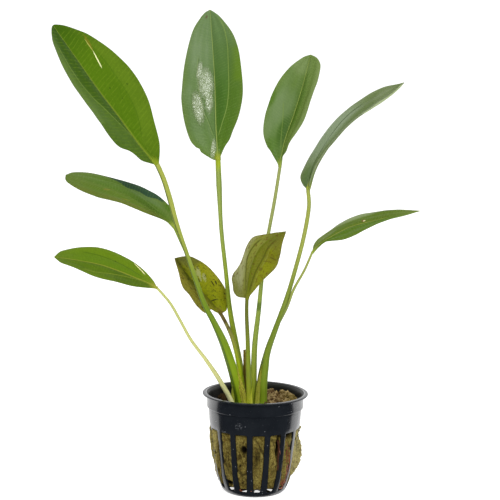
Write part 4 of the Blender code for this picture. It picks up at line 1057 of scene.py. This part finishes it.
def pot_material():
    """Black moulded plastic, dusty and scuffed, with painted light in bands on the mould's rings on the inside of its
    lip.
    """
    p = Paint("black pot plastic")
    place = p.place()
    x, y, z = p.split(place)
    cloud = p.noise(place, 0.12, 3.0)
    p.base = p.mix(p.step(cloud, 0.3, 0.7), (0.0078, 0.0098, 0.0130), (0.0108, 0.0132, 0.0170))
    dust = p.step(p.cells(place, 0.33), 0.075, 0.05, 0.42)
    powder = p.step(p.cells(place, 0.8), 0.09, 0.06, 0.1)
    dx, dz = p.minus(x, -8.2), p.minus(z, 38.6)
    near = p.plus(p.times(dx, dx), p.times(dz, dz))
    front = p.times(p.step(near, 5.0, 1.5), p.step(y, -18.0, -20.0))
    scuff = p.times(front, p.step(p.noise(place, 1.8, 3.0, 0.6), 0.52, 0.62, 0.22))
    marks = p.most(dust, powder, scuff)
    p.base = p.mix(marks, p.base, (0.45, 0.47, 0.5))

    # the polish shows towards the sides; the recess under the collar is kept dull so that it stays dark, as painted
    # shade, and the flat of the lip stays dull
    facing = p.node("ShaderNodeLayerWeight").outputs["Facing"]
    recess = p.times(p.step(z, 43.0, 43.4), p.step(z, 44.2, 43.95), p.step(y, -12.0, -18.0))
    radius = p.math("SQRT", p.plus(p.times(x, x), p.times(y, y)))
    flat = p.times(p.step(z, 50.6, 51.1), p.step(radius, 25.7, 26.0, 0.7))
    within = p.minus(radius, p.step(z, 50.2, 51.2, 25.4, 24.75))
    inside = p.times(p.step(within, 0.06, -0.06), p.step(z, 44.6, 44.9))
    # painted light: the inside of the lip a little lighter, lighter still in bands on its mould rings
    ring = p.step(p.math("SINE", p.times(z, 2 * math.pi / 0.9)), 0.5, 0.95, 0.8)
    p.base = p.mix(inside, p.base, p.mix(ring, (0.011, 0.0115, 0.0105), (0.04, 0.04, 0.036)))
    shine = p.times(p.minus(1.0, p.most(recess, inside, flat)), p.step(z, 8.0, 30.0, 1.0, 0.5))
    p.put(p.shader["Coat Weight"], p.times(shine, p.step(facing, 0.3, 0.42, 0.43)))
    p.put(p.shader["Coat Roughness"], 0.14)
    p.put(p.shader["Coat IOR"], 2.0)
    rough = p.plus(p.step(cloud, 0.3, 0.7, 0.27, 0.2), p.times(marks, 0.5), p.times(inside, 0.2))
    normal = p.bump(p.noise(place, 3.5, 2.0), 0.012, 0.5)
    normal = p.bump(p.noise(place, 0.22, 2.0), 0.2, 0.3, normal)
    specular = p.plus(p.times(shine, p.step(facing, 0.25, 0.6, 0.7, 0.07)), p.times(inside, 0.3))
    return p.done(rough, normal, specular)


def build_pot():
    wall, lip, floor = build_wall(), build_lip(), build_floor()
    pick(wall, lip, floor)
    bpy.ops.object.join()
    wall.name = wall.data.name = "net_pot_moulded"
    smooth(wall, 38)
    finish_piece(wall, pot_material(), "net_pot", "net_pot")


# Wool and crown

# Folds of the wool in the slots: places as turn round the pot in degrees and height, with painted light below the
# fold and painted shade above it
FOLDS = (((-51, 18.6), (-48, 17.2), (-41, 13.6), (-33, 10.4)),
         ((-1, 31.4), (3.5, 28.6), (7.1, 25.5), (10, 23.4), (11.7, 20.1), (12, 16)),
         ((21, 30.6), (23.2, 27.9), (26, 24.4), (29, 21.7), (30, 18)), ((44, 24), (48, 19), (52, 12)),
         ((-24, 14), (-18, 11.5), (-11, 12.5)))
# Holes and hollows, darkened as painted shade: turn, height, half width in degrees, half height, depth
HOLLOWS = ((-14.6, 26.1, 4.6, 2.1, 2.6), (-20.3, 17.5, 1.2, 0.7, 0.8), (50.5, 33.9, 9.5, 2.6, 4),
           (3.5, 23, 5, 6, 0.45), (-43, 7.2, 7.5, 1.2, 2.2), (98, 10.4, 8, 1.2, 1.4), (31.2, 27.5, 2.3, 6.4, 2),
           (33, 33, 3, 1, 0.8), (58, 26, 2.5, 2, 0.9), (72, 29, 3, 1.6, 0.8), (-66, 22, 3, 1.6, 0.7),
           (-62, 12, 2, 1.2, 0.7), (-17, 10, 4, 3, 0.3), (84, 22, 3, 3, 1))
# Lighter tufts: turn, height, half width in degrees, half height, how light
TUFTS = ((-20, 30.8, 6, 2.6, 0.7), (0.5, 31, 4.5, 2.2, 1), (4, 11, 8, 5, 0.6), (23, 26, 3.8, 8, 1),
         (26, 12, 6, 4, 0.35), (-40, 12.2, 6, 2.2, 0.6), (95, 19, 16, 9, 0.8), (-80, 22, 12, 12, 0.8),
         (58, 20, 4, 5, 0.6))
# Slots where the wool stands out or stays back: number, how far, from which height, how high, how full its arch
SWELLS = ((SWOLLEN_SLOT, 2.9, 7.5, 19, 0.6), (-4, 0.55, 15, 19, 0.6), (-3, 0.4, 9, 25, 0.5), (3, -0.1, 0, 1, 0))


def line_gap(turn, height, radius, line):
    """How far places on the wool lie from a line on it, and whether they are under it."""
    gap, under = np.full(len(turn), 99.0), np.zeros(len(turn), bool)
    for (turn_a, height_a), (turn_b, height_b) in zip(line, line[1:]):
        ax, bx = np.radians(turn_a) * radius, np.radians(turn_b) * radius
        x, dx, dz = np.radians(turn) * radius, bx - ax, height_b - height_a
        t = np.clip(((x - ax) * dx + (height - height_a) * dz) / (dx * dx + dz * dz), 0, 1)
        d = np.hypot(x - ax - t * dx, height - height_a - t * dz)
        closer = d < gap
        gap = np.where(closer, d, gap)
        under = np.where(closer, (height - height_a) * dx - (x - ax) * dz < 0, under)
    return gap, under


def build_wool():
    """The block of wool: it fills the slots, swells out of those at the left and the right, and ends in a crumbly
    mound that is highest on the right."""
    piece, around, up = flat_grid("wool", 470, 200)
    path = curve_through(((0.0, WOOL_FOOT), (15.0, WOOL_FOOT), (17.2, 4.6), (18.0, 5.5), (19.4, 9.7), (20.6, 18.7),
                          (21.8, 28.0), (22.6, 36.0), (22.9, 40.0), (22.6, 43.0), (20.0, WOOL_TOP),
                          (10.0, WOOL_TOP), (0.0, WOOL_TOP)), 12)
    radius, height = on_curve(path, up * length_of(path)).T
    radius = np.maximum(radius, 0.0)
    degrees = (360 * around + 180) % 360 - 180
    turn = np.radians(degrees)
    side = (height > WOOL_FOOT) & (height < 40.0) & (radius > 16.5)
    wall = body_radius(height)
    inside = wall - WALL - 0.25
    radius = np.where(side, np.minimum(radius, inside), radius)

    # the wool fills the open slots, and in four of them it stands out or stays back by a measure of its own
    period = 360 / SLOTS
    off = (degrees - SLOT_TURN + period / 2) % period - period / 2
    slot = np.rint((degrees - off - SLOT_TURN) / period)
    half = (np.radians(period) * wall - rib_width(height)) / 2
    filled = smoothstep(half - np.radians(np.abs(off)) * wall, -0.1, 0.3)
    filled = filled * smoothstep(height, WOOL_FOOT, 4.9) * (1 - smoothstep(height, 33.0, 33.95))
    swell = np.full(len(turn), -0.2)
    for at, depth, low, reach, power in SWELLS:
        swell = np.where(slot == at, depth * np.sin(np.pi * np.clip((height - low) / reach, 0, 1)) ** power, swell)
    swollen = slot == SWOLLEN_SLOT
    tuft = swollen * 0.5 * smoothstep(height, 29.5, 31.0)
    topside = smoothstep(height, 40.0, WOOL_TOP) * (up > 0.5)
    radius = radius + np.where(side, filled * (wall - inside + swell + tuft), 0.0)

    # the top is a mound, highest on the right, with a heap at the back on the left
    x, y = radius * np.sin(turn), -radius * np.cos(turn)
    mound = 43.3 + 5.0 * smoothstep(x, -4.0, 12.0) + 4.4 * np.exp(-((x + 16.5) ** 2 + (y - 8.0) ** 2) / 20.0)
    height = height + topside * (mound - WOOL_TOP)
    points = np.stack([x, y, height], 1)
    outward = np.stack([np.sin(turn), -np.cos(turn), 0 * turn], 1)
    way = unit(outward * (1 - topside)[:, None] + np.array((0.0, 0.0, 1.0)) * topside[:, None] + 1e-6)

    # lumps and creases of the sides, crumbs of the top, and the painted light on their raised places and painted
    # shade in their pits and creases
    coarse, middling, small = lumps(points, 4.0), lumps(points, 1.7, 3.0), lumps(points, 0.75, 7.0)
    crease = np.clip(1 - 6.0 * np.abs(lumps(points, 5.5, 11.0)), 0, 1) * smoothstep(coarse, 0.0, 0.4)
    rough = 0.35 * coarse + 0.32 * middling + 0.26 * small - 0.35 * crease
    crumbs = 1.1 * lumps(points, 2.9, 9.0) + 0.95 * lumps(points, 1.5, 2.0) + 0.6 * lumps(points, 0.8, 4.0)
    rough = rough + topside * (0.8 * lumps(points, 6.0, 5.0) + 1.5 * crumbs)
    rough = rough + swollen * side * (0.5 * middling + 0.5 * small)
    low = 1 - topside
    # painted light on raised crumbs and lumps, painted shade in pits and creases
    light = np.maximum(topside * smoothstep(crumbs, 0.15, 0.7), low * 0.6 * smoothstep(middling, 0.0, 0.6))
    dark = np.maximum(topside * smoothstep(-crumbs, 0.1, 0.6), low * 0.4 * smoothstep(-middling, 0.1, 0.6))
    dark = np.maximum(dark, 0.25 * crease * low)
    for angle, level, wide, tall, amount in TUFTS:
        near = np.exp(-((degrees - angle) / wide) ** 2 - ((height - level) / tall) ** 2)
        rough = rough + 0.3 * near
        light = np.maximum(light, amount * near * low)
    for line in FOLDS:
        gap, under = line_gap(degrees, height, radius, line)
        near = np.exp(-(gap / np.where(under, 2.6, 0.6)) ** 2)
        rough = rough + 0.55 * near
        light = np.maximum(light, 0.8 * near * low)
        dark = np.maximum(dark, np.where(under, 0, 0.45 * np.exp(-((gap - 1.0) / 0.8) ** 2)))
    for angle, level, wide, tall, depth in HOLLOWS:
        near = np.exp(-(((degrees - angle) / wide) ** 2 + ((height - level) / tall) ** 2) ** 1.5)
        rough = rough - depth * near
        dark = np.maximum(dark, near * min(1.0, depth) * low)
        light = light * (1 - near)
    free = np.where(side, 0.15 + 0.85 * filled, 0.9)
    shape(piece, points + way * (free * rough)[:, None])
    note(piece, "wool", np.stack([topside, light, dark], 1))
    seal(piece, 80)
    finish_piece(piece, wool_material(), "rock_wool", "rock_wool")


def wool_material():
    """Olive-brown mineral wool with fibres and a browner, crumbly top, with painted light on its lumps, crumbs and
    folds and painted shade in its hollows, pits and creases.
    """
    p = Paint("rock wool")
    place = p.place()
    x, y = p.split(place)[:2]
    top, light, dark = p.split(p.attribute("wool"))
    cloud = p.noise(place, 0.35, 5.0, 0.7)
    grain = p.noise(place, 1.2, 4.0, 0.75)
    fibre = p.plus(*(p.noise(p.place((1.0, 1.0, 0.25), (0.0, lean, 0.0)), scale, 3.0, 0.65, 1.2)
                     for lean, scale in ((0.4, 2.0), (-0.6, 1.8))))
    # the brown crumbs of the top
    p.base = p.mix(p.step(x, 9.0, 20.0), rgb((96, 72, 44)), rgb((124, 108, 56)))
    p.lay(p.step(grain, 0.5, 0.66, 0.4), (150, 122, 84))
    # painted light on the raised crumbs of the top
    p.lay(p.times(light, 0.8), (190, 166, 116))
    # painted shade over the left of the top, under the rim
    p.lay(p.step(x, 0.0, -8.0), (66, 50, 30))
    brown = p.base
    # the wool in the slots, paler where it swells out
    p.base = p.mix(p.step(cloud, 0.32, 0.68), rgb((62, 50, 18)), rgb((112, 98, 42)))
    # painted light on raised lumps and under folds, and the lighter tufts
    p.lay(p.times(light, p.step(grain, 0.25, 0.6, 0.8, 0.35)), (152, 137, 72))
    front = p.step(y, 18.0, 4.0)
    p.lay(p.times(front, p.step(x, 17.5, 20.5, 0.75)), (198, 188, 128))
    p.lay(p.times(front, p.step(x, -18.5, -20.5, 0.7)), (192, 178, 108))
    p.lay(p.step(fibre, 0.98, 1.2, 0.6), (158, 146, 78))
    p.lay(p.step(fibre, 0.98, 0.8, 0.5), (52, 40, 16))
    p.base = p.mix(p.step(top, 0.3, 0.8), p.base, brown)
    p.lay(p.step(grain, 0.52, 0.36, 0.7), (50, 38, 15))
    p.lay(p.step(p.noise(place, 0.5, 2.0), 0.64, 0.74, 0.45), (104, 66, 34))
    # painted shade in hollows, pits, creases and above folds
    p.lay(p.step(dark, 0.0, 0.85), (16, 12, 6))
    return p.done(0.95, p.bump(p.plus(grain, p.times(fibre, 0.6)), 0.6, 1.0), 0.05)


def paint_crown():
    p = Paint("crown")
    place = p.place()
    p.base = p.mix(p.step(p.noise(place, 0.6, 4.0, 0.6), 0.35, 0.65), rgb((96, 82, 40)), rgb((140, 130, 62)))
    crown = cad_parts["crown"]
    crown.data.materials.clear()
    crown.data.materials.append(p.done(0.75, p.bump(p.noise(place, 1.2, 3.0), 0.4, 0.8), 0.3))


# Studio

def build_camera():
    """The photograph's camera: it looks down by an angle, and is rolled a little."""
    down, roll = math.radians(LOOKS_DOWN), math.radians(ROLL)
    ahead = Vector((0.0, math.cos(down), -math.sin(down)))
    up = Vector((0.0, math.sin(down), math.cos(down)))
    right = Vector((1.0, 0.0, 0.0))
    across = math.cos(roll) * right + math.sin(roll) * up
    top = -math.sin(roll) * right + math.cos(roll) * up
    deselect()
    bpy.ops.object.camera_add()
    camera = bpy.context.object
    camera.matrix_world = Matrix.Translation(Vector(EYE) * MM) @ Matrix((across, top, -ahead)).transposed().to_4x4()
    camera.data.lens, camera.data.sensor_width = LENS, SENSOR
    camera.data.clip_start = 0.01
    bpy.context.scene.camera = camera


def build_light(name, place, target, size, power):
    bpy.ops.object.light_add(type="AREA", location=place)
    lamp = bpy.context.object
    lamp.name = name
    lamp.data.shape = "DISK"
    lamp.data.size = size
    lamp.data.energy = power
    lamp.rotation_euler = (Vector(target) - Vector(place)).to_track_quat("-Z", "Y").to_euler()


def build_studio():
    build_camera()
    bpy.ops.mesh.primitive_plane_add(size=8.0, location=(0, 0, 0))
    floor = bpy.context.object
    floor.name = "floor"
    p = Paint("pale floor")
    p.put(p.shader["Emission Color"], (1.0, 1.0, 1.0))
    p.put(p.shader["Emission Strength"], 0.8)
    p.base = (0.6, 0.6, 0.6)
    floor.data.materials.append(p.done(0.9, None, 0.0))
    # the pot would mirror the white floor from above, so its gloss comes from the studio light alone
    floor.visible_glossy = False

    build_light("key", (0.24, -0.86, 0.60), (0, 0, 0.15), 0.2, 4.4)
    build_light("overhead", (-0.2, -0.1, 1.1), (0, 0, 0.1), 0.9, 2.5)

    # white behind the plant; it lights and mirrors brightly from beyond and above only
    p = Paint("studio", "worlds", "Background")
    bpy.context.scene.world = p.owner
    y, z = p.split(p.node("ShaderNodeTexCoord").outputs["Generated"])[1:]
    bright = p.most(p.step(y, 0.17, 0.27, 1.2, 0.03), p.step(z, 0.35, 0.6, 0.8, 0.03))
    seen = p.node("ShaderNodeLightPath").outputs["Is Camera Ray"]
    p.put(p.shader["Strength"], p.most(bright, seen))
    p.put(p.shader["Color"], (1.0, 1.0, 1.0))
    bpy.context.scene.view_settings.view_transform = "Standard"


build_studio()
build_pot()
build_wool()
build_leaves()
for sheath, values in SHEATHS.items():
    build_sheath(sheath, *values)
build_small_parts()
paint_crown()
